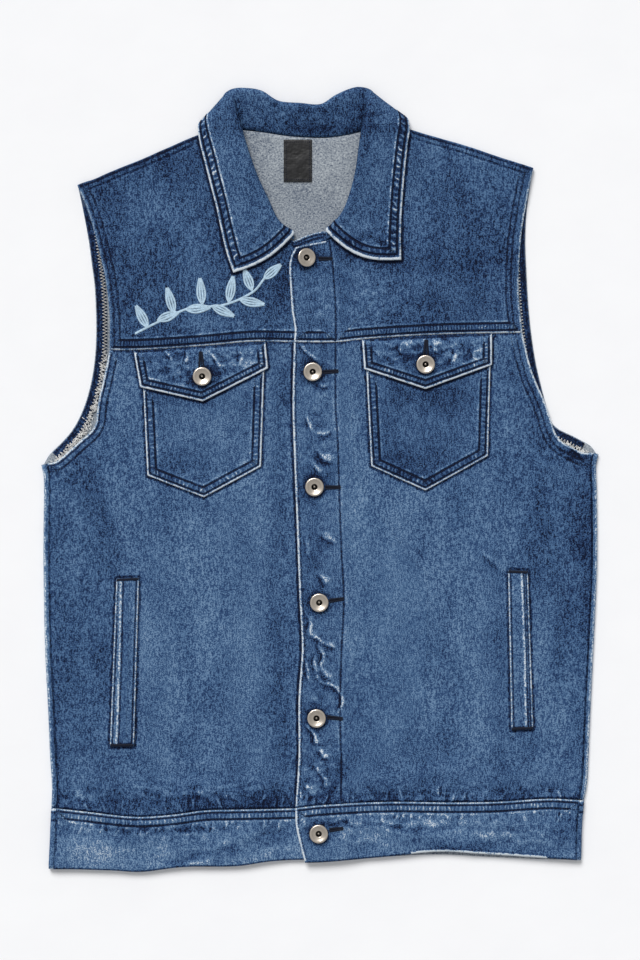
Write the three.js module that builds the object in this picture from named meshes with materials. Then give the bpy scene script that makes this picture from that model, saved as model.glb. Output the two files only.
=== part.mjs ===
// A sleeveless denim trucker vest laid flat on its back, front upwards and buttoned to the neck.
// Millimetres, +Z up. +Y runs from the hem to the collar, +X towards the wearer's left.
// Each cloth piece is a wall of its own: a middle surface over the piece's cut outline, lifted by what
// lies under it and thickened along its own normals. Pieces meet 0.3 mm apart at their seams.
import * as THREE from "three";

// Driving sizes
const CLOTH = 1.2; // one layer of washed heavy denim
const BAND_CLOTH = 2.2; // a waistband, folded double
const COLLAR_CLOTH = 1.8; // upper and under collar sewn together
const FLAP_CLOTH = 1.8;
const POCKET_CLOTH = 1.2;
const WELT_CLOTH = 1.6;
const FACING_CLOTH = 1.0;
const LABEL_CLOTH = 1.0;
const SEAM_GAP = 0.3;
const REST_GAP = 0.4; // between a layer and the one that lies on it

const BODY_GAP = 2.3; // space between back and front at the seams that join them
const LEAST_GAP = 1.7; // and the limits that its folds keep to elsewhere
const MOST_GAP = 3.4;
const LAP_GAP = 1.0; // the same space where the two fronts lie one on the other and press down
const COLLAR_REST = 0.8; // between the yokes and the collar's leaf
const LEAF_FLOOR = 0.1; // under the leaf where it lies behind the neck

const WRAP_RIGHT = 5.0; // how far in from the side fold each side seam lies
const WRAP_LEFT = 4.4;
const FACING_INSET = 0.8;
const FACING_WIDTH = 9;
const FACING_FROM = 0.05; // shares of the back's armhole, from the armpit, that its facing runs between
const FACING_TO = 0.93;
const POCKET_TUCK = 8; // from the yoke seam down to the pocket's mouth, behind the flap
const FLAP_SPRING = 6.5; // length over which a flap climbs from its seam onto the pocket
const BAND_CLIMB = 7; // length over which the front climbs onto the doubled band
const LAP_CLIMB = 26; // width over which a front goes down or up to its part of the lap
const SWAY = 0.25; // of the fronts' cloth, up and down

const BUTTON_RADIUS = 8.6;
const BUTTON_RIM_HEIGHT = 3.2;
const BUTTON_DISH_HEIGHT = 2.6;
const BUTTON_EYE_RADIUS = 2.1;
const BUTTON_EYE_DEPTH = 1.0;
const BUTTON_SHANK_RADIUS = 4.2;
const BUTTON_SHANK_HEIGHT = 1.0;
const BUTTON_SIDES = 16;
const TOP_BUTTON_TILT = THREE.MathUtils.degToRad(20); // leans over, pulled by the open neck

// Outlines. Each row is a point: x, y. Right and left are the wearer's.
const SIDE_FOLD_RIGHT = [
  [-247.5, -302.5], [-246.9, -284], [-248.8, -254], [-250.4, -214], [-253.4, -154], [-254.8, -74],
  [-254.4, -19], [-254.6, 3], [-256.6, 13],
];
const SIDE_FOLD_LEFT = [
  [243.7, -295.5], [246.6, -280], [248.4, -244], [250.6, -194], [253.6, -134], [256, -74],
  [255.6, -10], [255, 14], [257, 23],
];
const BAND_FOLD_RIGHT = [[-250, -358.5], [-248.8, -334], [-247.5, -302.8]];
const BAND_FOLD_LEFT = [[241, -350.6], [241.8, -320], [243.7, -295.8]];

// Armholes run from the armpit to the shoulder
const BACK_ARMHOLE_RIGHT = [
  [-254, 14], [-248.6, 23], [-238, 33.5], [-227.4, 46], [-219, 62], [-212.6, 81], [-208.5, 101],
  [-206.5, 120], [-206, 146], [-207.4, 178], [-210.2, 200], [-213, 221], [-216.8, 242], [-222.4, 269],
];
const BACK_ARMHOLE_LEFT = [
  [254.5, 24], [250.3, 30], [242, 35.2], [231.4, 40.7], [220.8, 45.8], [214, 52], [210.2, 62.7],
  [202.8, 91], [198.6, 110], [195, 134], [192.3, 160], [190.5, 192], [189.5, 218], [190.7, 247],
  [196.2, 284.6],
];
const PANEL_ARMHOLE_RIGHT = [
  [-251, 11], [-242, 16.5], [-231.7, 25], [-220, 35.5], [-210.5, 44], [-206, 52], [-205, 62],
  [-203, 75], [-199, 92], [-193.5, 118.7],
];
const PANEL_ARMHOLE_LEFT = [
  [251.5, 21], [242, 24.5], [233.5, 28.5], [225, 33], [218.7, 39.5], [215, 47.5], [211, 60.6],
  [205, 76.5], [197.5, 93.4], [192.3, 110], [186.7, 134.6],
];
const YOKE_ARMHOLE_RIGHT = [
  [-193.4, 119.1], [-193.2, 136], [-193.5, 153], [-196.6, 181], [-202.6, 209], [-208.6, 232],
  [-214, 249], [-221.4, 269.4],
];
const YOKE_ARMHOLE_LEFT = [
  [186.6, 135], [183.7, 162], [183, 181], [183.6, 200], [186, 228], [189.6, 250], [195.8, 284.8],
];

// Shoulders, from the armhole to the neck, 2 mm short of the fold that they share
const SHOULDER_RIGHT = [
  [-222.4, 269], [-206, 275], [-191.3, 281.5], [-165, 292], [-140.5, 302.7], [-120, 311.5],
  [-97, 320.5],
];
const SHOULDER_LEFT = [
  [196.2, 284.6], [179, 290.4], [162.6, 295.6], [138, 304], [113.3, 311.2], [88.6, 318.2], [64, 326],
];

// Neck seams, with the two tabs in front of the collar's ends
const NECK_BACK = [
  [-97, 320.5], [-85, 321.6], [-72, 321.5], [-50, 319], [-30, 316], [-10, 314.5], [9, 314.5],
  [26, 317], [45, 321.5], [64, 326],
];
const NECK_RIGHT = [
  [-97, 320.5], [-92.5, 303], [-85, 286], [-75, 268], [-62, 250], [-48, 232], [-36, 223],
  [-23.5, 219.5],
];
const NECK_RIGHT_TAB = [[-23.5, 219.5], [-10, 225], [2, 228], [14, 228.5]];
const NECK_LEFT_TAB = [[-22, 213.4], [-10, 216.2], [5, 219]];
const NECK_LEFT = [
  [5, 219], [20, 225], [34, 236], [46, 255], [54, 275], [59, 291], [62.5, 308], [64, 326],
];

// The buttonhole front's folded edge, from the hem to the neck
const EDGE_BAND = [[-13.3, -352.6], [-17.5, -338], [-21.8, -318], [-22.2, -302.6]];
const EDGE_PANEL = [
  [-22.2, -302.2], [-21, -284], [-19.3, -254], [-19.3, -202], [-16.3, -160], [-16.5, -144],
  [-18.5, -108], [-21.3, -34], [-23.8, 31], [-24.8, 64], [-24.4, 97], [-23.6, 126],
];
const EDGE_YOKE = [
  [-23.6, 126.3], [-22.8, 138], [-25.4, 154], [-27, 178], [-27.8, 192], [-26.6, 204], [-22, 213.4],
];

// Hems and seams, from the wearer's right to the left
const HEM_BACK = [
  [-250, -358.5], [-164, -360.5], [-126, -356.2], [-60, -353], [-18, -350.4], [20, -350.6],
  [62, -347.8], [109, -345.6], [151, -347.6], [207, -350.2], [241, -350.6],
];
const HEM_RIGHT = [
  [-250, -358.5], [-226, -358.8], [-190, -360], [-164, -361.2], [-126, -356.8], [-76, -355.9],
  [-46, -351.7], [-18, -350.3], [14, -350.5],
];
const HEM_LEFT = [
  [-13.3, -352.6], [2, -352.2], [30, -350], [62, -347.2], [109.6, -342.6], [151, -344.8],
  [207, -348.5], [241, -350.6],
];
const WAIST_RIGHT = [
  [-247.5, -302.7], [-216, -305.8], [-170, -310.6], [-136, -308.8], [-106, -304.8], [-76, -304],
  [-22, -303], [14, -302],
];
const WAIST_LEFT = [
  [-22.2, -302.4], [2, -299.7], [62, -296.9], [121, -297.4], [161, -296.9], [211, -294],
  [243.7, -295.7],
];
const YOKE_SEAM_RIGHT = [
  [-193.4, 118.9], [-165, 119], [-107.5, 122.6], [-61.5, 126.6], [-24, 126.2], [14, 126],
];
const YOKE_SEAM_LEFT = [
  [-23.6, 126.2], [15.6, 126.2], [38, 128.6], [76, 131.4], [113, 133.3], [186.6, 134.8],
];

// Flaps, each with its top edge, its two lower corners and its point: x, y
const FLAP_RIGHT = {
  top: [[-170.8, 117.6], [-50, 125.8]],
  low: [[-165, 84.8], [-47.6, 102.1]],
  point: [-107.5, 71.7],
};
const FLAP_LEFT = {
  top: [[39.1, 128.2], [158.3, 133.8]],
  low: [[41, 101.4], [158.3, 105.2]],
  point: [97.3, 83],
};

// Pockets, each with the x of its mouth's ends, its two lower corners and its point
const POCKET_RIGHT = {
  mouth: [-163.4, -50.6],
  low: [[-158.4, 3.5], [-54.1, 11.8]],
  point: [-106.6, -16.5],
};
const POCKET_LEFT = {
  mouth: [42, 157.6],
  low: [[47.6, 12.2], [154.7, 21.6]],
  point: [97.3, -10.3],
};

// Side pocket welts, each with its lower and upper ends: x, y
const WELT_RIGHT = {
  bottom: [[-192.9, -246], [-170.9, -246]],
  top: [[-186.9, -91.3], [-166.3, -90.3]],
};
const WELT_LEFT = {
  bottom: [[176.5, -231], [196.4, -230]],
  top: [[173.4, -83.4], [191.5, -84.3]],
};

const LABEL = { bottom: [[-33, 274], [-7.3, 274]], top: [[-33, 312.6], [-7.3, 312.6]] };

// Large soft folds of the fronts, each row a ridge: x0, y0, x1, y1, width, rise
const FOLDS = [
  [-205, -282, -120, -288, 12, 0.8],
  [-120, -288, -44, -285, 13, 0.9],
  [34, -281, 110, -278, 13, 0.9],
  [110, -278, 221, -274, 12, 0.8],
  [-98, -343, -56, -322, 10, 0.9],
  [-236, -341, -158, -327, 12, 0.8],
  [40, -316, 138, -337, 11, 1.0],
  [150, -312, 232, -328, 12, 0.8],
  [-240, 0, -206, -20, 9, 0.8],
  [214, 14, 240, -4, 9, 0.8],
  [-74, -40, -64, -262, 30, 0.7],
  [74, -38, 68, -256, 30, 0.7],
  [-152, -76, -150, -256, 15, 0.6],
  [158, -74, 163, -246, 13, 0.7],
  [-110, 196, -60, 158, 18, 0.5],
  [96, 196, 128, 158, 22, 0.5],
];

// The collar, each row a section from its neck seam over its roll to the edge of its leaf:
// seam x, seam y, roll x, roll y, edge x, edge y, turn, roll radius, bow
// Turn says where the leaf lies: 90 on top of the stand, 0 outside it, -90 underneath it.
const COLLAR = [
  [-23.5, 220.2, -24, 226.5, -79.4, 190, 90, 1.6, 5.5],
  [-48, 232.8, -38.4, 238.2, -85.5, 208, 90, 2.6, 2],
  [-62, 250.6, -48, 258, -90.5, 229, 90, 3.0, 0],
  [-74.6, 268.6, -57, 277, -95, 250, 90, 3.2, 0],
  [-84.6, 286.6, -64, 296, -100.5, 271, 90, 3.4, 0],
  [-91.4, 303.4, -70, 315, -105.5, 291, 86, 3.6, 0],
  [-94.4, 314, -76, 337, -110, 309, 72, 4.0, 0],
  [-94.6, 320, -80.5, 350, -111.6, 320.5, 35, 4.4, 0],
  [-92.6, 322.6, -82.5, 355, -110, 328, -10, 4.4, 0],
  [-86, 323.4, -80, 358.4, -101, 325.5, -55, 4.2, 0],
  [-72, 322.6, -70, 359.4, -82, 314, -84, 4.0, 0],
  [-50, 319.8, -54, 357, -58, 309, -90, 3.8, 0],
  [-30, 316.8, -38, 347.6, -37, 303, -90, 3.6, 0],
  [-10, 315.3, -18, 345.6, -17, 300, -90, 3.6, 0],
  [9, 315.3, 1, 344.6, 2, 300, -90, 3.6, 0],
  [26, 317.8, 15, 353, 20, 304, -90, 3.8, 0],
  [42, 321.8, 29, 359, 44, 310, -84, 4.0, 0],
  [54, 326, 38, 360, 69, 322, -55, 4.2, 0],
  [60, 328, 43, 356.6, 79.6, 332.4, -10, 4.4, 0],
  [61.4, 325, 43, 347, 82.5, 322, 35, 4.4, 0],
  [61.4, 316, 41.4, 334, 81, 310, 72, 4.0, 0],
  [60, 303, 38.4, 318, 79.4, 295, 86, 3.6, 0],
  [57, 288, 36, 301, 77.8, 279, 90, 3.4, 0],
  [52, 272, 33.4, 283, 76.4, 261.6, 90, 3.2, 0],
  [44.4, 254, 28.6, 264, 75.2, 243, 90, 3.0, 0],
  [33, 235.8, 21, 245, 74.6, 222, 90, 2.6, 3],
  [5, 219.8, 6.3, 229, 75, 201.8, 90, 1.6, 10],
];

// Buttons: x, y
const FRONT_BUTTONS = [
  [-12.6, 203.8], [-6.4, 98.8], [-4.8, -7.2], [-0.4, -113.6], [-2.9, -220], [-0.9, -325.8],
];
const POCKET_BUTTON_RIGHT = [-108, 94.4];
const POCKET_BUTTON_LEFT = [97.3, 105.5];

// Numbers, curves and patches

const clamp = (t, low, high) => Math.min(high, Math.max(low, t));
const mix = (a, b, t) => a + (b - a) * t;
const distance = (a, b) => Math.hypot(...a.map((value, i) => value - b[i]));

// Rises from 0 to 1 with level ends, as t does.
function ease(t) {
  const c = clamp(t, 0, 1);
  return c * c * (3 - 2 * c);
}

// Even steps from one share to another
const shares = (count, from = 0, to = 1) =>
  Array.from({ length: count + 1 }, (_, i) => mix(from, to, i / count));

// Runs of even steps end to end, each run a row: count, to
function runs(...rows) {
  let from = 0;
  return rows.reduce((all, [count, to]) => {
    const next = shares(count, from, to);
    from = to;
    return [...all.slice(0, -1), ...next];
  }, [0]);
}

// A smooth curve through rows of numbers by their distances apart, as a function of 0 to 1.
function smoothCurve(rows, apart = distance) {
  const last = rows.length - 1;
  const at = [0];
  for (let i = 1; i <= last; i += 1) at.push(at[i - 1] + apart(rows[i - 1], rows[i]));
  const slopes = rows.map((row, i) => {
    const before = Math.max(0, i - 1);
    const after = Math.min(last, i + 1);
    return row.map((_, k) => (rows[after][k] - rows[before][k]) / (at[after] - at[before]));
  });
  return (t) => {
    const s = clamp(t, 0, 1) * at[last];
    let i = 0;
    while (i < last - 1 && s > at[i + 1]) i += 1;
    const span = at[i + 1] - at[i];
    const p = (s - at[i]) / span;
    const start = 2 * p ** 3 - 3 * p ** 2 + 1;
    const leave = (p ** 3 - 2 * p ** 2 + p) * span;
    const arrive = (p ** 3 - p ** 2) * span;
    return rows[i].map((value, k) =>
      start * value + (1 - start) * rows[i + 1][k] + leave * slopes[i][k] + arrive * slopes[i + 1][k]);
  };
}

const line = ([x0, y0], [x1, y1]) => (t) => [mix(x0, x1, t), mix(y0, y1, t)];
const reversed = (curve) => (t) => curve(1 - t);
const raised = (rows, rise) => rows.map(([x, y]) => [x, y + rise]);

// A smooth curve through the rows, its two ends moved onto the corners given.
const between = (start, rows, end) => smoothCurve([start, ...rows.slice(1, -1), end]);

// Curves end to end, with the shares at which one hands over to the next.
function chain(curves, joints) {
  const stops = [0, ...joints, 1];
  return (t) => {
    let i = 0;
    while (i < curves.length - 1 && t > stops[i + 1]) i += 1;
    return curves[i]((t - stops[i]) / (stops[i + 1] - stops[i]));
  };
}

// A curve moved a distance to its own left.
function offset(curve, amount) {
  const reach = 0.01;
  return (t) => {
    const [x, y] = curve(t);
    const [ax, ay] = curve(Math.max(0, t - reach));
    const [bx, by] = curve(Math.min(1, t + reach));
    const length = Math.hypot(bx - ax, by - ay);
    return [x - (amount * (by - ay)) / length, y + (amount * (bx - ax)) / length];
  };
}

// A patch between four edge curves that share their corners.
function patch(bottom, top, left, right) {
  const corners = [bottom(0), bottom(1), top(0), top(1)];
  return (u, v) => [0, 1].map((k) => {
    const ruled = mix(bottom(u)[k], top(u)[k], v) + mix(left(v)[k], right(v)[k], u);
    return ruled - mix(mix(corners[0][k], corners[1][k], u), mix(corners[2][k], corners[3][k], u), v);
  });
}

// A patch between straight edges through four corners.
const plain = ({ bottom, top }) =>
  patch(line(...bottom), line(...top), line(bottom[0], top[0]), line(bottom[1], top[1]));

// A patch with a pointed lower edge, as a pocket or a flap has.
function pointed({ top, low, point }) {
  const bottom = chain([line(low[0], point), line(point, low[1])], [0.5]);
  return patch(bottom, line(...top), line(low[0], top[0]), line(low[1], top[1]));
}

// Heights of the layers

// The waist seam of the back, which runs straight from one side fold to the other.
const waistHeight = (x) => mix(-302.65, -295.65, (x + 247.5) / 491.2);

// How much thicker the doubled band is than the cloth, reached just above the waist seam.
const bandStep = (x, y) => (BAND_CLOTH - CLOTH) * ease((waistHeight(x) - y + BAND_CLIMB + 1) / BAND_CLIMB);

// How far the collar's leaf, which lies under the back of the neck, lifts the cloth there.
const backLift = (x, y) =>
  (COLLAR_CLOTH + REST_GAP) * ease((y - 248) / 46) * ease((x + 140) / 36) * ease((112 - x) / 36);

const backTop = (x, y) => backLift(x, y) + CLOTH + bandStep(x, y);

// Distance from a straight line through two points.
function fromLine(x, y, [x0, y0], [x1, y1]) {
  return Math.abs((x - x0) * (y1 - y0) - (y - y0) * (x1 - x0)) / Math.hypot(x1 - x0, y1 - y0);
}

// 0 at the side folds and shoulders, where back and front are joined, rising to 1 away from them.
function freedom(x, y) {
  const right = fromLine(x, y, SHOULDER_RIGHT[0], SHOULDER_RIGHT.at(-1));
  const left = fromLine(x, y, SHOULDER_LEFT[0], SHOULDER_LEFT.at(-1));
  const side = Math.min(x + 250, 248 - x);
  return ease(Math.min(right, left) / 24) * ease(side / 30);
}

function foldRise(x, y) {
  return FOLDS.reduce((sum, [x0, y0, x1, y1, width, rise]) => {
    const along = ((x - x0) * (x1 - x0) + (y - y0) * (y1 - y0)) / ((x1 - x0) ** 2 + (y1 - y0) ** 2);
    const near = clamp(along, 0, 1);
    const away = Math.hypot(x - mix(x0, x1, near), y - mix(y0, y1, near));
    return sum + rise * Math.exp(-((away / width) ** 2));
  }, 0);
}

// The space between back and front, away from the lap of the fronts.
function bodyGap(x, y) {
  const sway = SWAY * (Math.sin(x / 31 + y / 57) * Math.sin(y / 43 - x / 90) - 1);
  const free = clamp(BODY_GAP + sway + foldRise(x, y), LEAST_GAP, MOST_GAP);
  return mix(BODY_GAP, free, freedom(x, y));
}

// Underside of the button front, which presses down where the other front covers it.
const underRight = (x, y) => backTop(x, y) + mix(bodyGap(x, y), LAP_GAP, ease((x + 54) / LAP_CLIMB));

// Underside of the buttonhole front, which climbs over the button front.
function underLeft(x, y) {
  const lapped = LAP_GAP + CLOTH + bandStep(x, y) + REST_GAP;
  return backTop(x, y) + mix(lapped, bodyGap(x, y), ease((x - 18) / LAP_CLIMB));
}

const topRight = (x, y) => underRight(x, y) + CLOTH;
const topLeft = (x, y) => underLeft(x, y) + CLOTH;

// Walls from middle surfaces

class Sheet {
  constructor() {
    this.points = [];
    this.quads = [];
  }

  add(point) {
    this.points.push(point);
    return this.points.length - 1;
  }

  // A grid of points, us across and vs up. Returns the rows of point numbers.
  grid(us, vs, point) {
    const rows = vs.map((v) => us.map((u) => this.add(point(u, v))));
    for (let j = 0; j + 1 < rows.length; j += 1) {
      for (let i = 0; i + 1 < us.length; i += 1) {
        this.quads.push([rows[j][i], rows[j][i + 1], rows[j + 1][i + 1], rows[j + 1][i]]);
      }
    }
    return rows;
  }

  // The level direction out of the sheet at point i of an edge that has the sheet on its left.
  outward(edge, i) {
    const [ax, ay] = this.points[edge[Math.max(0, i - 1)]];
    const [bx, by] = this.points[edge[Math.min(edge.length - 1, i + 1)]];
    const length = Math.hypot(bx - ax, by - ay);
    return [(by - ay) / length, (ax - bx) / length];
  }

  // Rows of points grown from such an edge. place(step) gives how far out and how far up each row lies.
  grow(edge, count, place) {
    const directions = edge.map((_, i) => this.outward(edge, i));
    let inner = edge;
    for (let step = 1; step <= count; step += 1) {
      const [out, up] = place(step);
      const outer = edge.map((index, i) => {
        const [x, y, z] = this.points[index];
        return this.add([x + directions[i][0] * out, y + directions[i][1] * out, z + up]);
      });
      for (let i = 0; i + 1 < edge.length; i += 1) {
        this.quads.push([inner[i], outer[i], outer[i + 1], inner[i + 1]]);
      }
      inner = outer;
    }
  }

  // A half circle up and over from an edge, then a level run back in to the wrap's width.
  turnOver(edge, radius, run) {
    const count = 4;
    this.grow(edge, count + 1, (step) => {
      if (step > count) return [-run, 2 * radius];
      const angle = (Math.PI * step) / count;
      return [radius * Math.sin(angle), radius * (1 - Math.cos(angle))];
    });
  }

  // A quarter turn from an edge in three flats that end upright, up for 1 and down for -1.
  turnUp(edge, radius, direction) {
    const flat = Math.tan(Math.PI / 8);
    const profile = [[flat, 0], [1, 1 - flat], [1, 1]];
    this.grow(edge, profile.length, (step) => {
      const [out, up] = profile[step - 1];
      return [radius * out, direction * radius * up];
    });
  }

  normals() {
    const sums = this.points.map(() => new THREE.Vector3());
    const corner = this.points.map((point) => new THREE.Vector3(...point));
    for (const [a, b, c, d] of this.quads) {
      const across = corner[c].clone().sub(corner[a]);
      const face = across.cross(corner[d].clone().sub(corner[b]));
      for (const index of [a, b, c, d]) sums[index].add(face);
    }
    return sums.map((sum) => sum.normalize());
  }

  // The closed wall: the sheet moved half its thickness each way and joined round its open edges.
  wall(thickness) {
    const count = this.points.length;
    const normals = this.normals().map((normal) => normal.toArray());
    const moved = (side) =>
      this.points.flatMap((point, i) => point.map((value, k) => value + side * normals[i][k]));
    const positions = [...moved(thickness / 2), ...moved(-thickness / 2)];
    const edges = this.quads.flatMap((quad) => quad.map((from, k) => [from, quad[(k + 1) % 4]]));
    const directed = new Set(edges.map(([from, to]) => `${from} ${to}`));
    const indices = this.quads.flatMap(([a, b, c, d]) =>
      [a, b, c, a, c, d, ...[a, c, b, a, d, c].map((index) => index + count)]);
    for (const [from, to] of edges) {
      if (directed.has(`${to} ${from}`)) continue;
      indices.push(to, from, from + count, to, from + count, to + count);
    }
    const geometry = new THREE.BufferGeometry();
    geometry.setAttribute("position", new THREE.Float32BufferAttribute(positions, 3));
    geometry.setIndex(indices);
    geometry.computeVertexNormals();
    return geometry;
  }
}

// A wall over a patch, resting on a height: its middle lies half a thickness above it.
function layer(outline, us, vs, thickness, restsAt) {
  const sheet = new Sheet();
  sheet.grid(us, vs, (u, v) => {
    const [x, y] = outline(u, v);
    return [x, y, restsAt(x, y) + thickness / 2];
  });
  return sheet.wall(thickness);
}

// Materials

const cloth = (color) => new THREE.MeshStandardMaterial({ color, roughness: 0.92, metalness: 0 });
const denim = cloth(0x456080);
const yokeDenim = cloth(0x385073);
const insideDenim = cloth(0x8390a0);
const satin = new THREE.MeshStandardMaterial({ color: 0x242428, roughness: 0.5, metalness: 0 });
const nickel = new THREE.MeshStandardMaterial({ color: 0xa89f95, roughness: 0.38, metalness: 1 });

const vest = new THREE.Group();

function place(name, geometry, material) {
  const mesh = new THREE.Mesh(geometry, material);
  mesh.name = name;
  vest.add(mesh);
  return mesh;
}

// Side folds: the back goes round each fold and a little way over the top, where its seam lies

const SHOULDER_STEPS = 6; // back and yokes have the same steps where they meet
const SIDE_RISE = runs([5, 0.13], [7, 1]); // closest at the fold above the waist
const ARMPIT_SHARE = 0.55; // of the way up the back's sides
const PANEL_ROLL = (BODY_GAP + CLOTH) / 2;
const BAND_ROLL = (BODY_GAP + BAND_CLOTH) / 2;

const rightFold = smoothCurve(SIDE_FOLD_RIGHT);
const leftFold = smoothCurve(SIDE_FOLD_LEFT);
const rightBandFold = smoothCurve(BAND_FOLD_RIGHT);
const leftBandFold = smoothCurve(BAND_FOLD_LEFT);

// Turns over both sides of a grid whose edges lie a roll in from the folds.
function turnSides(sheet, rows, roll, thickness) {
  const reach = roll + thickness / 2;
  sheet.turnOver(rows.map((row) => row[0]).reverse(), roll, WRAP_RIGHT - reach);
  sheet.turnOver(rows.map((row) => row.at(-1)), roll, WRAP_LEFT - reach);
}

function makeBackPanel() {
  const reach = PANEL_ROLL + CLOTH / 2;
  const sideRight = offset(rightFold, -reach);
  const sideLeft = offset(leftFold, reach);
  const armRight = between(sideRight(1), BACK_ARMHOLE_RIGHT, SHOULDER_RIGHT[0]);
  const armLeft = between(sideLeft(1), BACK_ARMHOLE_LEFT, SHOULDER_LEFT[0]);
  const shoulderRight = smoothCurve(SHOULDER_RIGHT);
  const shoulderLeft = reversed(smoothCurve(SHOULDER_LEFT));
  const outline = patch(
    line(sideRight(0), sideLeft(0)),
    chain([shoulderRight, smoothCurve(NECK_BACK), shoulderLeft], [0.3, 0.64]),
    chain([sideRight, armRight], [ARMPIT_SHARE]),
    chain([sideLeft, armLeft], [ARMPIT_SHARE]),
  );
  const us = runs([SHOULDER_STEPS, 0.3], [6, 0.64], [SHOULDER_STEPS, 1]);
  const above = runs([4, 0.2], [4, 0.75], [6, 1]); // closest round the armpit and behind the neck
  const vs = [
    ...SIDE_RISE.map((share) => share * ARMPIT_SHARE),
    ...above.slice(1).map((share) => mix(ARMPIT_SHARE, 1, share)),
  ];
  const sheet = new Sheet();
  const rows = sheet.grid(us, vs, (u, v) => {
    const [x, y] = outline(u, v);
    return [x, y, backLift(x, y) + CLOTH / 2];
  });
  turnSides(sheet, rows.slice(0, SIDE_RISE.length), PANEL_ROLL, CLOTH);
  const top = rows.at(-1);
  const roll = PANEL_ROLL - SEAM_GAP / 2;
  sheet.turnUp(top.slice(0, SHOULDER_STEPS + 1).reverse(), roll, 1);
  sheet.turnUp(top.slice(-SHOULDER_STEPS - 1).reverse(), roll, 1);
  place("back_panel", sheet.wall(CLOTH), denim);
}

function makeBackWaistband() {
  const reach = BAND_ROLL + BAND_CLOTH / 2;
  const right = offset(rightBandFold, -reach);
  const left = offset(leftBandFold, reach);
  const outline = patch(between(right(0), HEM_BACK, left(0)), line(right(1), left(1)), right, left);
  const sheet = new Sheet();
  const rows = sheet.grid(shares(16), shares(2), (u, v) => [...outline(u, v), BAND_CLOTH / 2]);
  turnSides(sheet, rows, BAND_ROLL, BAND_CLOTH);
  place("back_waistband", sheet.wall(BAND_CLOTH), denim);
}

// Fronts. Each seam has half its gap above it and half below.

const HALF_GAP = SEAM_GAP / 2;
const seamBelow = (rows) => raised(rows, -HALF_GAP);
const seamAbove = (rows) => raised(rows, HALF_GAP);

const PANEL_ARMPIT_SHARE = 0.7; // of the way up the fronts' sides
const PANEL_RISE = [
  ...SIDE_RISE.map((share) => share * PANEL_ARMPIT_SHARE),
  ...shares(7, PANEL_ARMPIT_SHARE, 1).slice(1),
];
const RIGHT_STEPS = runs([9, 0.73], [4, 0.9], [1, 1]); // closest where the front dips under the lap
const LEFT_STEPS = runs([2, 0.14], [3, 0.26], [9, 1]); // and where it climbs onto it

function makeRightPanel() {
  const side = offset(rightFold, -(WRAP_RIGHT + SEAM_GAP));
  const seam = seamBelow(YOKE_SEAM_RIGHT);
  const waist = seamAbove(WAIST_RIGHT);
  const arm = between(side(1), PANEL_ARMHOLE_RIGHT, seam[0]);
  const outline = patch(
    between(side(0), waist, waist.at(-1)),
    smoothCurve(seam),
    chain([side, arm], [PANEL_ARMPIT_SHARE]),
    line(waist.at(-1), seam.at(-1)),
  );
  place("front_right_panel", layer(outline, RIGHT_STEPS, PANEL_RISE, CLOTH, underRight), denim);
}

function makeLeftPanel() {
  const side = offset(leftFold, WRAP_LEFT + SEAM_GAP);
  const seam = seamBelow(YOKE_SEAM_LEFT);
  const arm = between(side(1), PANEL_ARMHOLE_LEFT, seam.at(-1));
  const outline = patch(
    between(EDGE_PANEL[0], seamAbove(WAIST_LEFT), side(0)),
    between(EDGE_PANEL.at(-1), seam, seam.at(-1)),
    smoothCurve(EDGE_PANEL),
    chain([side, arm], [PANEL_ARMPIT_SHARE]),
  );
  place("front_left_panel", layer(outline, LEFT_STEPS, PANEL_RISE, CLOTH, underLeft), denim);
}

function makeRightYoke() {
  const seam = seamAbove(YOKE_SEAM_RIGHT);
  const top = [smoothCurve(SHOULDER_RIGHT), smoothCurve(NECK_RIGHT), smoothCurve(NECK_RIGHT_TAB)];
  const outline = patch(
    smoothCurve(seam),
    chain(top, [0.45, 0.85]),
    between(seam[0], YOKE_ARMHOLE_RIGHT, SHOULDER_RIGHT[0]),
    line(seam.at(-1), NECK_RIGHT_TAB.at(-1)),
  );
  const us = runs([SHOULDER_STEPS, 0.45], [7, 0.85], [3, 1]);
  makeYoke("front_right_yoke", outline, us, underRight, (row) => row.slice(0, SHOULDER_STEPS + 1));
}

function makeLeftYoke() {
  const seam = seamAbove(YOKE_SEAM_LEFT);
  const top = [smoothCurve(NECK_LEFT_TAB), smoothCurve(NECK_LEFT), reversed(smoothCurve(SHOULDER_LEFT))];
  const outline = patch(
    between(EDGE_YOKE[0], seam, seam.at(-1)),
    chain(top, [0.13, 0.45]),
    smoothCurve(EDGE_YOKE),
    between(seam.at(-1), YOKE_ARMHOLE_LEFT, SHOULDER_LEFT[0]),
  );
  const us = runs([2, 0.13], [8, 0.45], [SHOULDER_STEPS, 1]);
  makeYoke("front_left_yoke", outline, us, underLeft, (row) => row.slice(-SHOULDER_STEPS - 1));
}

// A yoke's top row turns down along its shoulder, the part of the row that shoulderOf gives.
function makeYoke(name, outline, us, restsAt, shoulderOf) {
  const sheet = new Sheet();
  const rows = sheet.grid(us, runs([6, 0.55], [7, 1]), (u, v) => {
    const [x, y] = outline(u, v);
    return [x, y, restsAt(x, y) + CLOTH / 2];
  });
  sheet.turnUp(shoulderOf(rows.at(-1)).reverse(), PANEL_ROLL - HALF_GAP, -1);
  place(name, sheet.wall(CLOTH), yokeDenim);
}

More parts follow.
